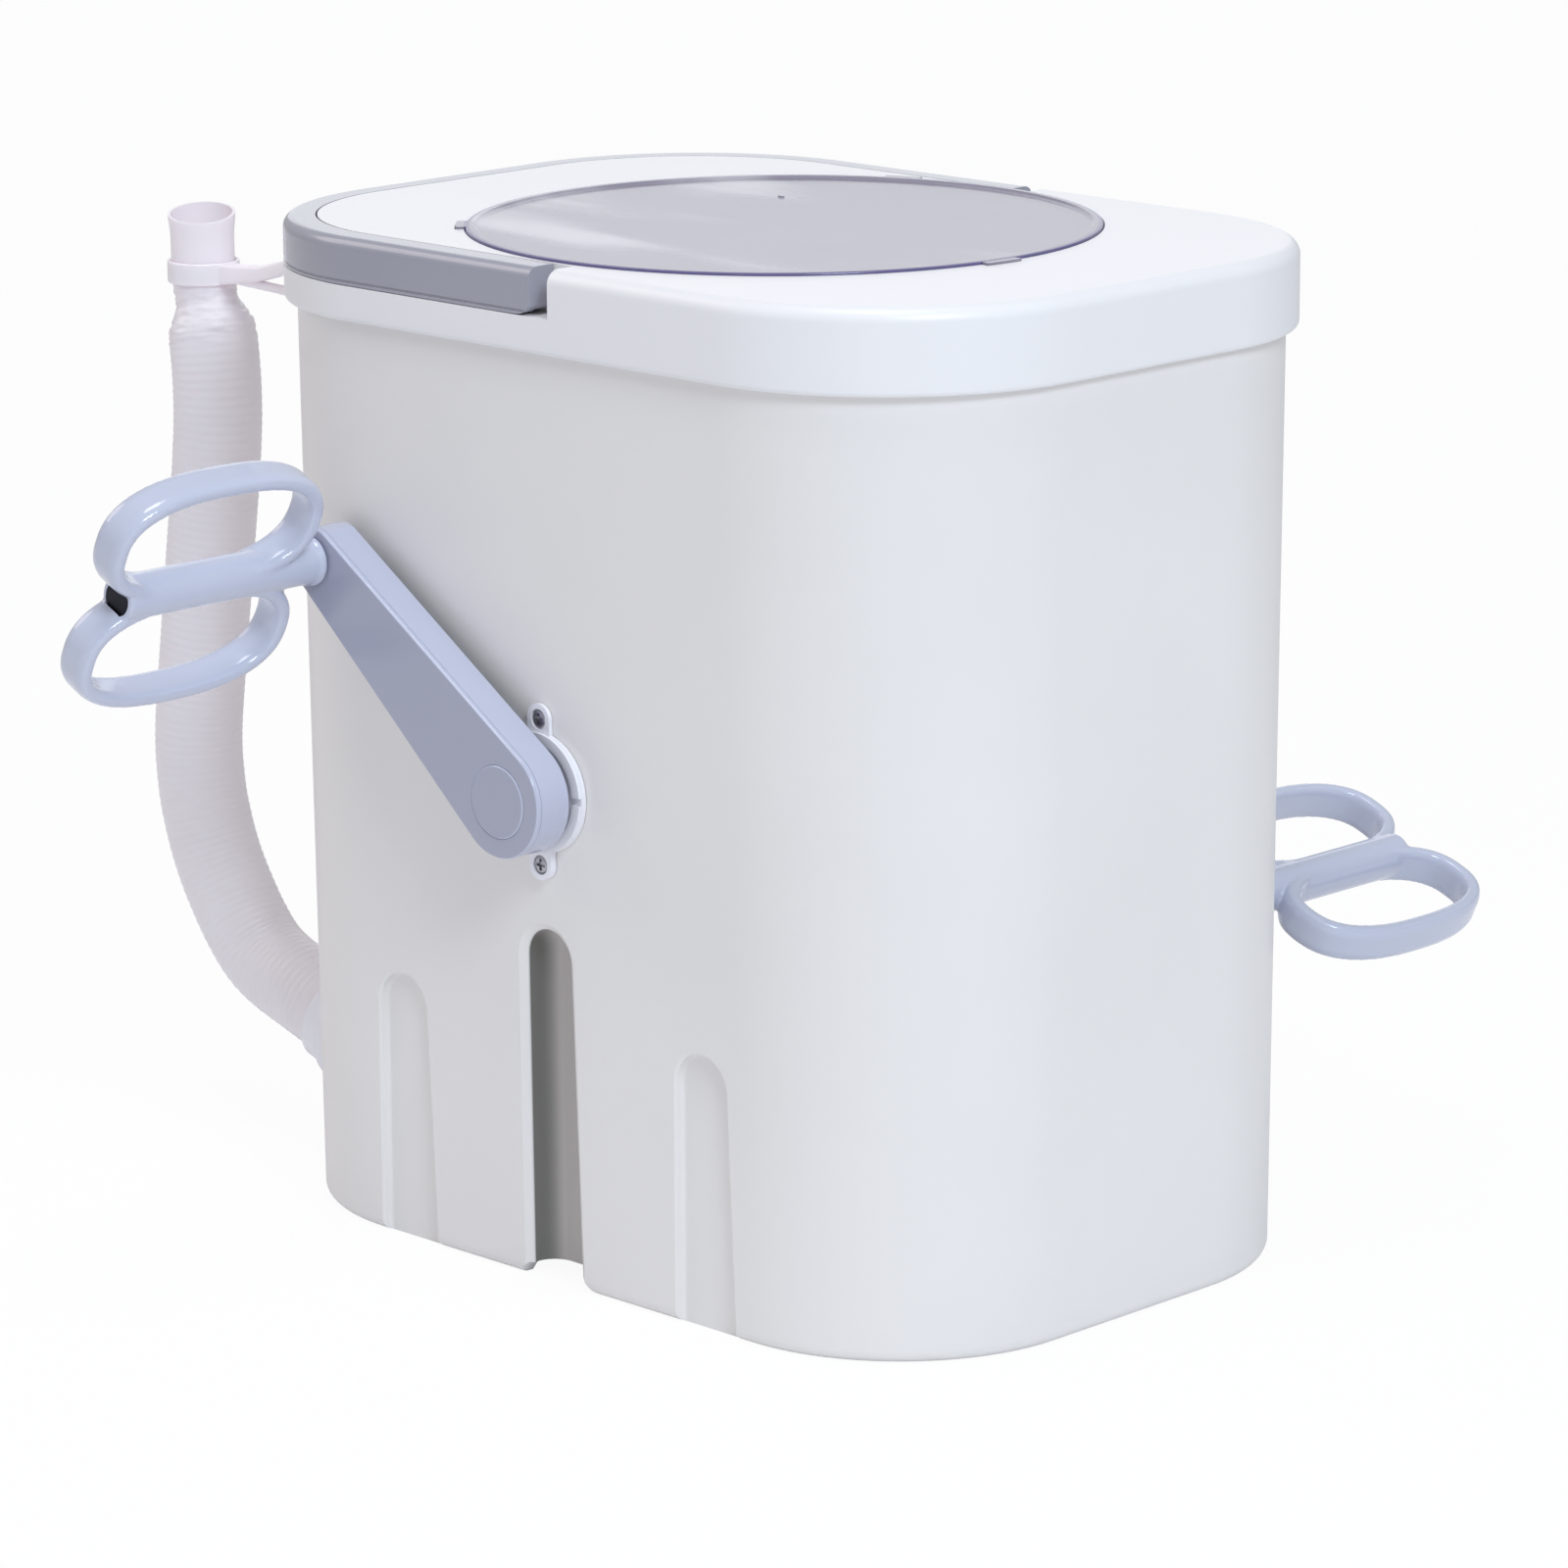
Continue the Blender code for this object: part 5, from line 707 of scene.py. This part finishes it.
# a band swept round a squarish oval, thin in the oval's plane and wide across it
def pedalLoop(side, offset, sideways, middle):
    outward = Vector((0, side, 0))
    facing = sideways.cross(outward)
    power, total, count = 2 / pedal["power"], pedal["points"], len(pedal["section"])
    points, faces = [], []
    for step in range(total):
        turn = math.tau * (step + 0.5) / total
        along = pedal["halfLength"] * signedPower(math.cos(turn), power)
        across = pedal["halfWidth"] * signedPower(math.sin(turn), power)
        steepAlong = signedPower(math.cos(turn), 2 - power) / pedal["halfLength"]
        steepAcross = signedPower(math.sin(turn), 2 - power) / pedal["halfWidth"]
        normal = (outward * steepAlong + sideways * steepAcross).normalized()
        place = middle + sideways * (offset + across) + outward * along
        points += [place + normal * (thick * pedal["thickness"] / 2) + facing * (wide * pedal["band"] / 2)
                   for thick, wide in pedal["section"]]
        faces += bandFaces(step * count, (step + 1) % total * count, count)
    return meshObject("loop", points, faces)


def makePedal(name, side):
    centre = pedalCentre(side)
    lean = math.radians(pedal["slants"][name])
    sideways = Vector((math.cos(lean), 0, math.sin(lean)))
    half = pedal["halfLength"] + pedal["thickness"] / 2
    start, reach = crank["face"] + play, crank["face"] + pedal["collarLength"] + half
    end = reach + half - pedal["sleeveShort"]
    sleeve, edge = pedal["sleeve"], pedal["sleeveEdge"]
    profile = [(0, start)] + [(pedal["collar"] + grow, start + out) for grow, out in pedal["collarShape"]]
    profile += [(sleeve, start + pedal["collarLength"]), (sleeve, end - edge), (sleeve - edge, end), (0, end)]
    body = turned(f"pedal_{name}_grip", profile, "Y", centre, side=side)
    middle = centre + Vector((0, side * reach, 0))
    for share in (-0.5, 0.5):
        fuse(body, pedalLoop(side, share * pedal["spacing"], sideways, middle))
    modify(body, "REMESH", mode="VOXEL", voxel_size=pedal["voxel"])
    modify(body, "SMOOTH", factor=0.5, iterations=pedal["smooth"])
    bakeModifiers(body)
    bore, head, deep = pedal["bore"], pedal["boreHead"], end - pedal["boreHeadDepth"]
    low, high = start - past, end + pedal["borePast"]
    profile = ((0, low), (bore, low), (bore, deep), (head, deep), (head, high), (0, high))
    carve(body, turned("bore", profile, "Y", centre, 40, side))
    finishPiece(body, f"pedal_{name}_body", "blue_grey_plastic", paleBlue, f"pedal_{name}", angle=40,
                weighted=False)


for name, side in sides.items():
    makePedal(name, side)
print("pedals done")

# Bearing flanges and their screws
flange = {
    "radius": 0.0235, "plate": 0.0022, "ring": 0.0034, "ringWall": 0.004, "notch": 0.003, "notchDepth": 0.008,
    "earRadius": 0.0060, "earRoot": 0.0140, "spacing": 0.057, "softEdge": 0.0005, "line": 0.0005,
    "screwHead": 0.0036, "screwHeight": 0.0016, "screwLength": 0.0090, "screwRadius": 0.0018,
    "headGap": 0.0001, "dome": ((1, 0.5), (0.85, 0.85), (0.5, 1)), "cross": (0.66, 0.19), "crossLow": 0.1,
}


def flangeFace():
    return wallReach(shaftCentre[2] + flange["spacing"] / 2 + flange["earRadius"]) + flange["plate"]


def screwSeat():
    return flangeFace() - fit - flange["screwHeight"]


def screwCentre(upward):
    return (0, 0, shaftCentre[2] + upward * flange["spacing"] / 2)


def makeFlange(name, side):
    radius, outer, line, half = flange["earRadius"], flange["radius"], flange["line"], flange["notch"] / 2
    wall, face, height = wallReach(shaftCentre[2]) - bucket["wall"], flangeFace(), shaftCentre[2]
    inner, ring = outer - flange["ringWall"], face + flange["ring"] - flange["plate"]
    profile = ((bucket["bushRadius"], wall), (bucket["bushRadius"], face), (inner, face), (inner, ring),
               (outer, ring), (outer, face), (outer - line, face - line / 2), (outer - line, face - line),
               (outer, face - 1.5 * line), (outer, wall))
    body = turned(f"bearing_flange_{name}_ring", profile, "Y", shaftCentre, side=side)
    for upward in (1, -1):
        ear = arc((0, upward * flange["spacing"] / 2), radius, 90 - 90 * upward, 270 - 90 * upward, 24)
        root = upward * flange["earRoot"]
        ear += [(-radius * upward, root), (radius * upward, root)]
        fuse(body, loft("ear", prism("Y", ear, (side * wall, side * (face - fit)), shaftCentre)))
    carve(body, bucketSkin(), block("notch", (outer - flange["notchDepth"], side * face, height - half),
                                    (outer + past, side * (ring + past), height + half)))
    hole, head, low, high = flange["screwRadius"] + fit, flange["screwHead"] + fit, screwSeat(), face + past
    profile = ((0, 0), (hole, 0), (hole, low), (head, low), (head, high), (0, high))
    for upward in (1, -1):
        carve(body, turned("screw seat", profile, "Y", screwCentre(upward), 40, side))
    roundEdges(body, flange["softEdge"])
    finishPiece(body, "base", "white_plastic", whiteFlange, f"bearing_flange_{name}")


def screwModel():
    gap, length, radius = flange["headGap"], flange["screwLength"], flange["screwRadius"]
    head, height = flange["screwHead"] - gap, flange["screwHeight"] - 2 * gap
    profile = [(0, -length), (radius, -length), (radius, 0), (head, 0)]
    profile += [(head * out, height * up) for out, up in flange["dome"]] + [(0, height)]
    model = turned("screw model", profile, "Y", steps=32)
    low, long, wide = height * flange["crossLow"], *(head * share for share in flange["cross"])
    for x, z in ((long, wide), (wide, long)):
        carve(model, block("cross", (-x, low, -z), (x, height + past, z)))
    model.data.materials.append(screwSteel)
    return model


def screwTree():
    tree, keys, given = newTree("screws on places", {"Screw": "Object", "Turn": "Float"})
    model = addNode(tree, "GeometryNodeObjectInfo", {"Object": given["Screw"]})["Geometry"]
    turn = addNode(tree, "ShaderNodeCombineXYZ", {"Z": given["Turn"]})["Vector"]
    inputs = {"Points": given["Geometry"], "Instance": model, "Rotation": turn}
    endTree(tree, addNode(tree, "GeometryNodeInstanceOnPoints", inputs)["Instances"], given["Material"])
    return tree, keys


def makeScrews():
    model = screwModel()
    tree, keys = screwTree()
    for name, side in sides.items():
        places = [alongAxis("Y", (0, 0), side * screwSeat(), screwCentre(upward)) for upward in (1, -1)]
        screws = meshObject(f"flange_screws_{name}", places)
        turn = 0.0 if side > 0 else math.pi
        runTree(screws, tree, keys, {"Screw": model, "Turn": turn, "Material": screwSteel})
        finishPiece(screws, "base", "steel", screwSteel,
                    *(f"flange_screw_{name}_{place}" for place in ("upper", "lower")), weighted=False)
    bpy.data.objects.remove(model, do_unlink=True)


for name, side in sides.items():
    makeFlange(name, side)
makeScrews()
print("flanges and screws done")

# Drain hose on its leaning spigot; the route is how far out from the end wall, and how high
hose = {
    "radius": 0.0183, "valley": 0.01808, "pitch": 0.0034, "cuff": 0.0130, "mouth": 0.0138,
    "cuffLength": 0.035, "flareLength": 0.010, "shoulder": 0.014, "wall": 0.0012, "around": 56, "perRib": 6,
    "tilt": 18, "standoff": 0.008, "collar": 0.006, "wallEnd": -0.18692, "mouthSlant": 11,
    "slantLength": 0.014, "slantTowards": 44.6, "ribFade": (0.003, 0.002), "wrinkle": 0.0028,
    "wrinkleFade": (0.006, 0.008), "wrinkleScale": 190, "wrinkleSqueeze": (1, 1, 3.2),
    "wrinkleLevel": 0.62, "knotSteps": 12,
    "route": ((0.0600, 0.0745), (0.0694, 0.0838), (0.0778, 0.0950), (0.0866, 0.1097), (0.0928, 0.1255),
              (0.0965, 0.1418), (0.0974, 0.1648), (0.0920, 0.2054), (0.0860, 0.2478), (0.0815, 0.2800),
              (0.0797, 0.3060), (0.0813, 0.3300), (0.0860, 0.3541), (0.0868, 0.3828)),
}


def spigotPlace(along):
    lean = math.radians(hose["tilt"])
    return Vector((hose["wallEnd"] - along * math.cos(lean), spigotCentre[1],
                   spigotCentre[2] + along * math.sin(lean)))


def hosePath():
    start = hose["standoff"] + hose["collar"] + fit
    knots = [spigotPlace(start + step * hose["radius"]) for step in range(3)]
    knots += [Vector((hose["wallEnd"] - out, spigotCentre[1], height)) for out, height in hose["route"]]
    knots = [2 * knots[0] - knots[1]] + knots + [2 * knots[-1] - knots[-2]]
    path = []
    for index in range(1, len(knots) - 2):
        before, here, there, beyond = knots[index - 1:index + 3]
        for step in range(hose["knotSteps"]):
            share = step / hose["knotSteps"]
            path.append(0.5 * (2 * here + (there - before) * share
                               + (2 * before - 5 * here + 4 * there - beyond) * share ** 2
                               + (3 * here - before - 3 * there + beyond) * share ** 3))
    path.append(knots[-2])
    return path


def hoseTree():
    names = ("Radius", "Valley", "Pitch", "Cuff", "Mouth", "Wrinkle", "Length", "Ribs start", "Ribs end",
             "Cuff start", "Flare start")
    sockets = {"Count": "Int", "Around": "Int", **dict.fromkeys(names, "Float")}
    tree, keys, given = newTree("ribbed hose", sockets)
    radius, valley, pitch, cuff, mouth, wrinkle, length, ribsStart, ribsEnd, cuffStart, flareStart = (
        given[name] for name in names)
    add, take, times = (partial(maths, tree, kind) for kind in ("ADD", "SUBTRACT", "MULTIPLY"))
    ramp = partial(mapRange, tree, smooth=True)
    run = addNode(tree, "GeometryNodeSplineParameter")["Length"]
    curve = addNode(tree, "GeometryNodeMeshToCurve", {"Mesh": given["Geometry"]})["Curve"]
    curve = addNode(tree, "GeometryNodeResampleCurve", {"Curve": curve, "Count": given["Count"]})["Curve"]

    middle, swing = times(add(radius, valley), 0.5), times(take(radius, valley), 0.5)
    wave = maths(tree, "COSINE", times(maths(tree, "DIVIDE", take(run, ribsStart), pitch), math.tau))
    slow, quick = hose["ribFade"]
    rising = ramp(run, take(ribsStart, slow), add(ribsStart, quick))
    falling = ramp(run, take(ribsEnd, quick), add(ribsEnd, quick), 1, 0)
    ribs = times(times(wave, swing), times(rising, falling))
    shoulder = ramp(run, ribsEnd, cuffStart, middle, cuff)
    size = add(take(shoulder, ribs), ramp(run, flareStart, length, 0, take(mouth, cuff)))
    before, after = hose["wrinkleFade"]
    creased = times(ramp(run, take(ribsEnd, before), ribsEnd),
                    ramp(run, cuffStart, add(cuffStart, after), 1, 0))
    capture = tree.nodes.new("GeometryNodeCaptureAttribute")
    capture.capture_items.new("FLOAT", "creased")
    feed(tree, capture, {"Geometry": curve, "creased": creased})
    circle = addNode(tree, "GeometryNodeCurvePrimitiveCircle", {"Radius": 1.0, "Resolution": given["Around"]})
    inputs = {"Curve": capture.outputs["Geometry"], "Profile Curve": circle["Curve"], "Scale": size}
    tube = addNode(tree, "GeometryNodeCurveToMesh", inputs)["Mesh"]

    place = addNode(tree, "GeometryNodeInputPosition")["Position"]
    inputs = {0: place, 1: hose["wrinkleSqueeze"]}
    squeezed = addNode(tree, "ShaderNodeVectorMath", inputs, operation="MULTIPLY")["Vector"]
    inputs = {"Vector": squeezed, "Scale": hose["wrinkleScale"], "Detail": 1}
    cloud = addNode(tree, "ShaderNodeTexNoise", inputs)[0]
    push = times(take(cloud, hose["wrinkleLevel"]), times(capture.outputs["creased"], wrinkle))
    normal = addNode(tree, "GeometryNodeInputNormal")["Normal"]
    offset = addNode(tree, "ShaderNodeVectorMath", {0: normal, "Scale": push}, operation="SCALE")["Vector"]
    moved = addNode(tree, "GeometryNodeSetPosition", {"Geometry": tube, "Offset": offset})["Geometry"]
    endTree(tree, moved, given["Material"])
    return tree, keys


def makeHose():
    path = hosePath()
    length = sum((two - one).length for one, two in zip(path, path[1:]))
    guide = meshObject("drain_hose_tube", path, edges=[(step, step + 1) for step in range(len(path) - 1)])
    tree, keys = hoseTree()
    cuffStart = length - hose["cuffLength"]
    kept = ("Radius", "Valley", "Pitch", "Cuff", "Mouth", "Wrinkle", "Around")
    runTree(guide, tree, keys, {
        **{key: hose[key.lower()] for key in kept},
        "Length": length, "Ribs start": hose["shoulder"] / 2, "Ribs end": cuffStart - hose["shoulder"],
        "Cuff start": cuffStart, "Flare start": length - hose["flareLength"],
        "Count": int(length / hose["pitch"] * hose["perRib"]), "Material": milkyHose,
    })
    fixNormals(guide.data)
    end = path[-1]  # where the mouth is cut at a slant
    facing, slope = math.radians(hose["slantTowards"]), math.tan(math.radians(hose["mouthSlant"]))
    for vertex in guide.data.vertices:
        spot = vertex.co
        share = max(0.0, 1 - (end.z - spot.z) / hose["slantLength"])
        towards = (spot.x - end.x) * math.sin(facing) - (spot.y - end.y) * math.cos(facing)
        spot.z -= share * slope * towards
    modify(guide, "SOLIDIFY", thickness=hose["wall"], offset=-1)
    bakeModifiers(guide)
    finishPiece(guide, "base", "hose_plastic", milkyHose, "drain_hose", angle=75, weighted=False)


makeHose()
print("hose done")

# Hose clip; each row of a strap is a share of its length, then half its width, its low and its high
clip = {
    "height": 0.3591, "inner": 0.0134, "outer": 0.0148, "band": 0.009, "edge": 0.0004, "mouth": 0.016,
    "mouthReach": 0.03, "corner": 0.0014, "root": -0.1922, "braceRoot": -0.1864,
    "strap": ((0.0, 0.0040, 0.3548, 0.36340), (0.12, 0.0036, 0.3560, 0.3636), (0.35, 0.0034, 0.3588, 0.3650),
              (0.70, 0.0036, 0.3655, 0.3712), (0.86, 0.0046, 0.3680, 0.37445), (0.94, 0.0085, 0.3680, 0.3768),
              (1.0, 0.0147, 0.3680, 0.3794)),
    "brace": ((0.08, 0.0018, 0.3556, 0.3592), (0.40, 0.0018, 0.3548, 0.3584), (0.80, 0.0022, 0.3534, 0.3576),
              (1.0, 0.0040, 0.3518, 0.3590)),
}


def strapRing(x, half, low, high):
    outline = roundRing(2 * half, high - low, clip["corner"], 0, 5)
    return [(x, spigotCentre[1] + y, (low + high) / 2 + z) for y, z, flat in outline]


def makeClip():
    middle = min(hosePath(), key=lambda place: abs(place.z - clip["height"]))
    half, edge, inner, outer = clip["band"] / 2, clip["edge"], clip["inner"], clip["outer"]
    profile = ((inner, edge - half), (inner + edge, -half), (outer - edge, -half), (outer, edge - half),
               (outer, half - edge), (outer - edge, half), (inner + edge, half), (inner, half - edge))
    body = turned("hose_clip_band", profile, centre=(middle.x, middle.y, clip["height"]), steps=80)
    mouth, low, high = clip["mouth"] / 2, clip["height"] - half - past, clip["height"] + half + past
    carve(body, block("clip mouth", (middle.x - clip["mouthReach"], middle.y - mouth, low),
                      (middle.x, middle.y + mouth, high)))
    start = middle.x + (inner + outer) / 2
    for name, end in (("strap", clip["root"]), ("brace", clip["braceRoot"])):
        fuse(body, loft(name, [strapRing(start + (end - start) * share, *sizes)
                               for share, *sizes in clip[name]]))
    finishPiece(body, "base", "white_plastic", milkyHose, "hose_clip", angle=35)


makeClip()
print("clip done")

# Spin basket and its hub
basket = {
    "radius": 0.112, "top": 0.3845, "low": 0.2653, "wall": 0.0022, "floor": 0.003, "taper": 0.004,
    "round": 0.012, "rimReach": 0.002, "rimHeight": 0.004, "soft": 0.0008, "bore": 0.0043, "slots": 12,
    "slotWidth": 0.005, "slotHeight": 0.028, "slotRows": (0.024, 0.066), "holes": 8, "holeRadius": 0.004,
    "holeCircle": 0.070, "holeTop": 0.0108,
}
hub = {
    "radius": 0.030, "topRadius": 0.012, "height": 0.027, "skirt": 0.0034, "edge": 0.0005, "levels": 12,
    "fins": 3, "fin": 0.003, "finReach": 0.045, "finLow": 0.0045, "finTop": 0.024, "finStart": 0.010,
    "finPower": 1.4, "finLevels": 8, "finEdge": 0.0006,
}


def makeBasket():
    radius, top, low, soft, bore = (basket[key] for key in ("radius", "top", "low", "soft", "bore"))
    bend, half = basket["round"], basket["slotWidth"] / 2
    bendRadius = radius - basket["taper"] - bend
    centre = (bendRadius, low + bend)
    rimLow, reach, inner = top - basket["rimHeight"], radius + basket["rimReach"], radius - basket["wall"]
    profile = [(bore, low)] + arc(centre, bend, 270, 360, 10)
    profile += [(radius, rimLow - soft), (reach, rimLow), (reach, top - soft), (reach - soft, top)]
    profile += [(inner + soft, top), (inner, top - soft)] + arc(centre, bend - basket["floor"], 360, 270, 10)
    profile += [(bore, low + basket["floor"])]
    body = turned("wash_basket_tub", profile, steps=144)
    stacks = []
    for row in basket["slotRows"]:
        outline = arc((0, low + row + basket["slotHeight"] - half), half, 0, 180, 8)
        outline += arc((0, low + row + half), half, 180, 360, 8)
        stacks += spread(prism("X", outline, (bendRadius, radius + bend)), basket["slots"], 0.5)
    outline = arc((basket["holeCircle"], 0), basket["holeRadius"], 0, 345, 23)
    stacks += spread(prism("Z", outline, (low - bend, low + basket["holeTop"])), basket["holes"])
    carve(body, loft("slots and holes", *stacks))
    finishPiece(body, "basket", "basket_plastic", basketPlastic, "wash_basket")


def makeHub():
    base, bore = basket["low"] + basket["floor"] + fit, basket["bore"]
    radius, skirt, height, edge = (hub[key] for key in ("radius", "skirt", "height", "edge"))
    profile = [(bore, base), (radius - edge, base), (radius, base + edge)]
    for step in range(hub["levels"] + 1):
        share = step / hub["levels"]
        profile.append((hub["topRadius"] + (radius - hub["topRadius"]) * (1 - share) ** 2,
                        base + skirt + (height - skirt) * share))
    body = turned("basket_hub_cone", profile + [(bore, base + height)])
    start, reach, finLow, half = hub["finStart"], hub["finReach"], hub["finLow"], hub["fin"] / 2
    outline = [(start, base), (reach, base), (reach, base + finLow)]
    for step in range(1, hub["finLevels"] + 1):
        share = step / hub["finLevels"]
        rise = (hub["finTop"] - finLow) * share ** hub["finPower"]
        outline.append((reach + (start - reach) * share, base + finLow + rise))
    for rings in spread(prism("Y", outline, (-half, half)), hub["fins"]):
        fuse(body, roundEdges(loft("fin", rings), hub["finEdge"]))
    carve(body, rod("shaft bore", bore, base - past, base + height + past, steps=48))
    finishPiece(body, "basket", "basket_plastic", basketPlastic, "basket_hub")


makeBasket()
makeHub()
print("basket and hub done")

# Drain spigot
spigot = {
    "radius": 0.0125, "bore": 0.0100, "plate": 0.0235, "plateThickness": 0.004, "collar": 0.0205,
    "collarEnd": 0.014, "barb": 0.0122, "tip": 0.042, "outerBore": 0.0097, "seat": 0.0115, "innerEnd": 0.0200,
    "soft": 0.001,
}


def tiltedTurn(name, profile):
    thing = turned(name, profile, steps=64)
    turn = Matrix.Rotation(math.radians(hose["tilt"] - 90), 4, "Y")
    thing.data.transform(Matrix.Translation(spigotPlace(0)) @ turn)
    return thing


def makeSpigot():
    wall, soft, plate, outer = hose["wallEnd"], spigot["soft"], spigot["plate"], spigot["outerBore"]
    face, seat, innerEnd = wall - spigot["plateThickness"], wall + spigot["seat"], wall + spigot["innerEnd"]
    profile = ((0, face), (plate - soft, face), (plate, face + soft), (plate, seat), (0, seat))
    body = turned("drain_spigot_plate", profile, "X", spigotCentre, 80)
    collar, end, barb, tip = spigot["collar"], spigot["collarEnd"], spigot["barb"], spigot["tip"]
    profile = ((0, 0), (collar, 0), (collar, end - soft), (collar - soft, end), (barb, end),
               (barb, tip - soft), (barb - soft, tip), (0, tip))
    fuse(body, tiltedTurn("elbow", profile))
    carve(body, bucketSkin())
    fuse(body, rod("pipe", spigot["radius"], wall - hose["standoff"], innerEnd, "X", spigotCentre))
    bore = rod("bore", spigot["bore"], face, innerEnd + past, "X", spigotCentre)
    fuse(bore, tiltedTurn("outer bore", ((0, -fit), (outer, -fit), (outer, tip + past), (0, tip + past))))
    carve(body, bore)
    finishPiece(body, "base", "white_plastic", whiteFlange, "drain_spigot", angle=32)


makeSpigot()
print("spigot done")

# Floor, backdrop, lamps and camera
studio = {
    "floorSize": 40.0, "floorColour": (0.93, 0.93, 0.94), "floorRoughness": 0.9, "floorWhiteShare": 0.94,
    "world": 0.445, "worldColour": (0.96, 0.97, 1.0),
    "lamps": (  # name, place, size, watts, colour
        ("key", (2.5, -1.1, 2.4), 1.1, 51, (0.79, 0.90, 1.0)),
        ("top", (0.2, -0.4, 2.6), 1.0, 16, (0.94, 0.97, 1.0)),
        ("left", (-2.3, -1.0, 2.0), 1.6, 12, (1.0, 0.86, 0.80)),
        ("behind", (-3.2, 3.2, 1.5), 3.0, 14, (0.94, 0.97, 1.0)),
    ),
}
view = {"azimuth": 44.648, "elevation": 13.851, "roll": -0.314, "distance": 2.5618, "lens": 149.09,
        "target": (-0.0009, -0.0009, 0.1772), "sensor": 36, "sees": 100}


def mixShader(tree, share, one, two, output):
    mixed = addNode(tree, "ShaderNodeMixShader", {0: share, 1: one, 2: two})[0]
    feed(tree, tree.nodes[output], {"Surface": mixed})


def makeFloor():
    half = studio["floorSize"] / 2
    floor = meshObject("floor", [(-half, -half, 0), (half, -half, 0), (half, half, 0), (-half, half, 0)],
                       [(0, 1, 2, 3)])
    material, tree, shader = newMaterial("pale floor")
    feed(tree, shader, {"Base Color": studio["floorColour"], "Roughness": studio["floorRoughness"]})
    white = addNode(tree, "ShaderNodeEmission", {"Strength": 1.0})[0]
    seen = addNode(tree, "ShaderNodeLightPath")["Is Camera Ray"]
    share = maths(tree, "MULTIPLY", seen, studio["floorWhiteShare"])
    mixShader(tree, share, shader.outputs[0], white, "Material Output")
    floor.data.materials.append(material)


def makeWorld():
    world = bpy.data.worlds.new("studio")
    bpy.context.scene.world = world
    world.use_nodes = True
    tree = world.node_tree
    soft = tree.nodes["Background"]
    feed(tree, soft, {"Color": studio["worldColour"], "Strength": studio["world"]})
    white = addNode(tree, "ShaderNodeBackground", {"Color": (1, 1, 1), "Strength": 1.0})[0]
    rays = addNode(tree, "ShaderNodeLightPath")
    share = maths(tree, "MAXIMUM", rays["Is Camera Ray"], rays["Is Transmission Ray"])
    mixShader(tree, share, soft.outputs[0], white, "World Output")


def makeLamps():
    for name, place, size, power, colour in studio["lamps"]:
        lamp = bpy.data.lights.new(name, "AREA")
        assign(lamp, {"shape": "DISK", "size": size, "energy": power, "color": colour})
        thing = addObject(name, lamp)
        aim = Vector(view["target"]) - Vector(place)
        assign(thing, {"location": place, "rotation_euler": aim.to_track_quat("-Z", "Y").to_euler()})


def makeCamera():
    data = bpy.data.cameras.new("camera")
    assign(data, {"lens": view["lens"], "sensor_width": view["sensor"], "clip_end": view["sees"]})
    camera = addObject("camera", data)
    place = Matrix.Translation(view["target"])
    for angle, axis in ((view["azimuth"], "Z"), (90 - view["elevation"], "X"), (view["roll"], "Z")):
        place = place @ Matrix.Rotation(math.radians(angle), 4, axis)
    camera.matrix_world = place @ Matrix.Translation((0, 0, view["distance"]))
    bpy.context.scene.camera = camera


makeFloor()
makeWorld()
makeLamps()
makeCamera()
bpy.context.scene.view_settings.view_transform = "Standard"
print("stage and camera done")
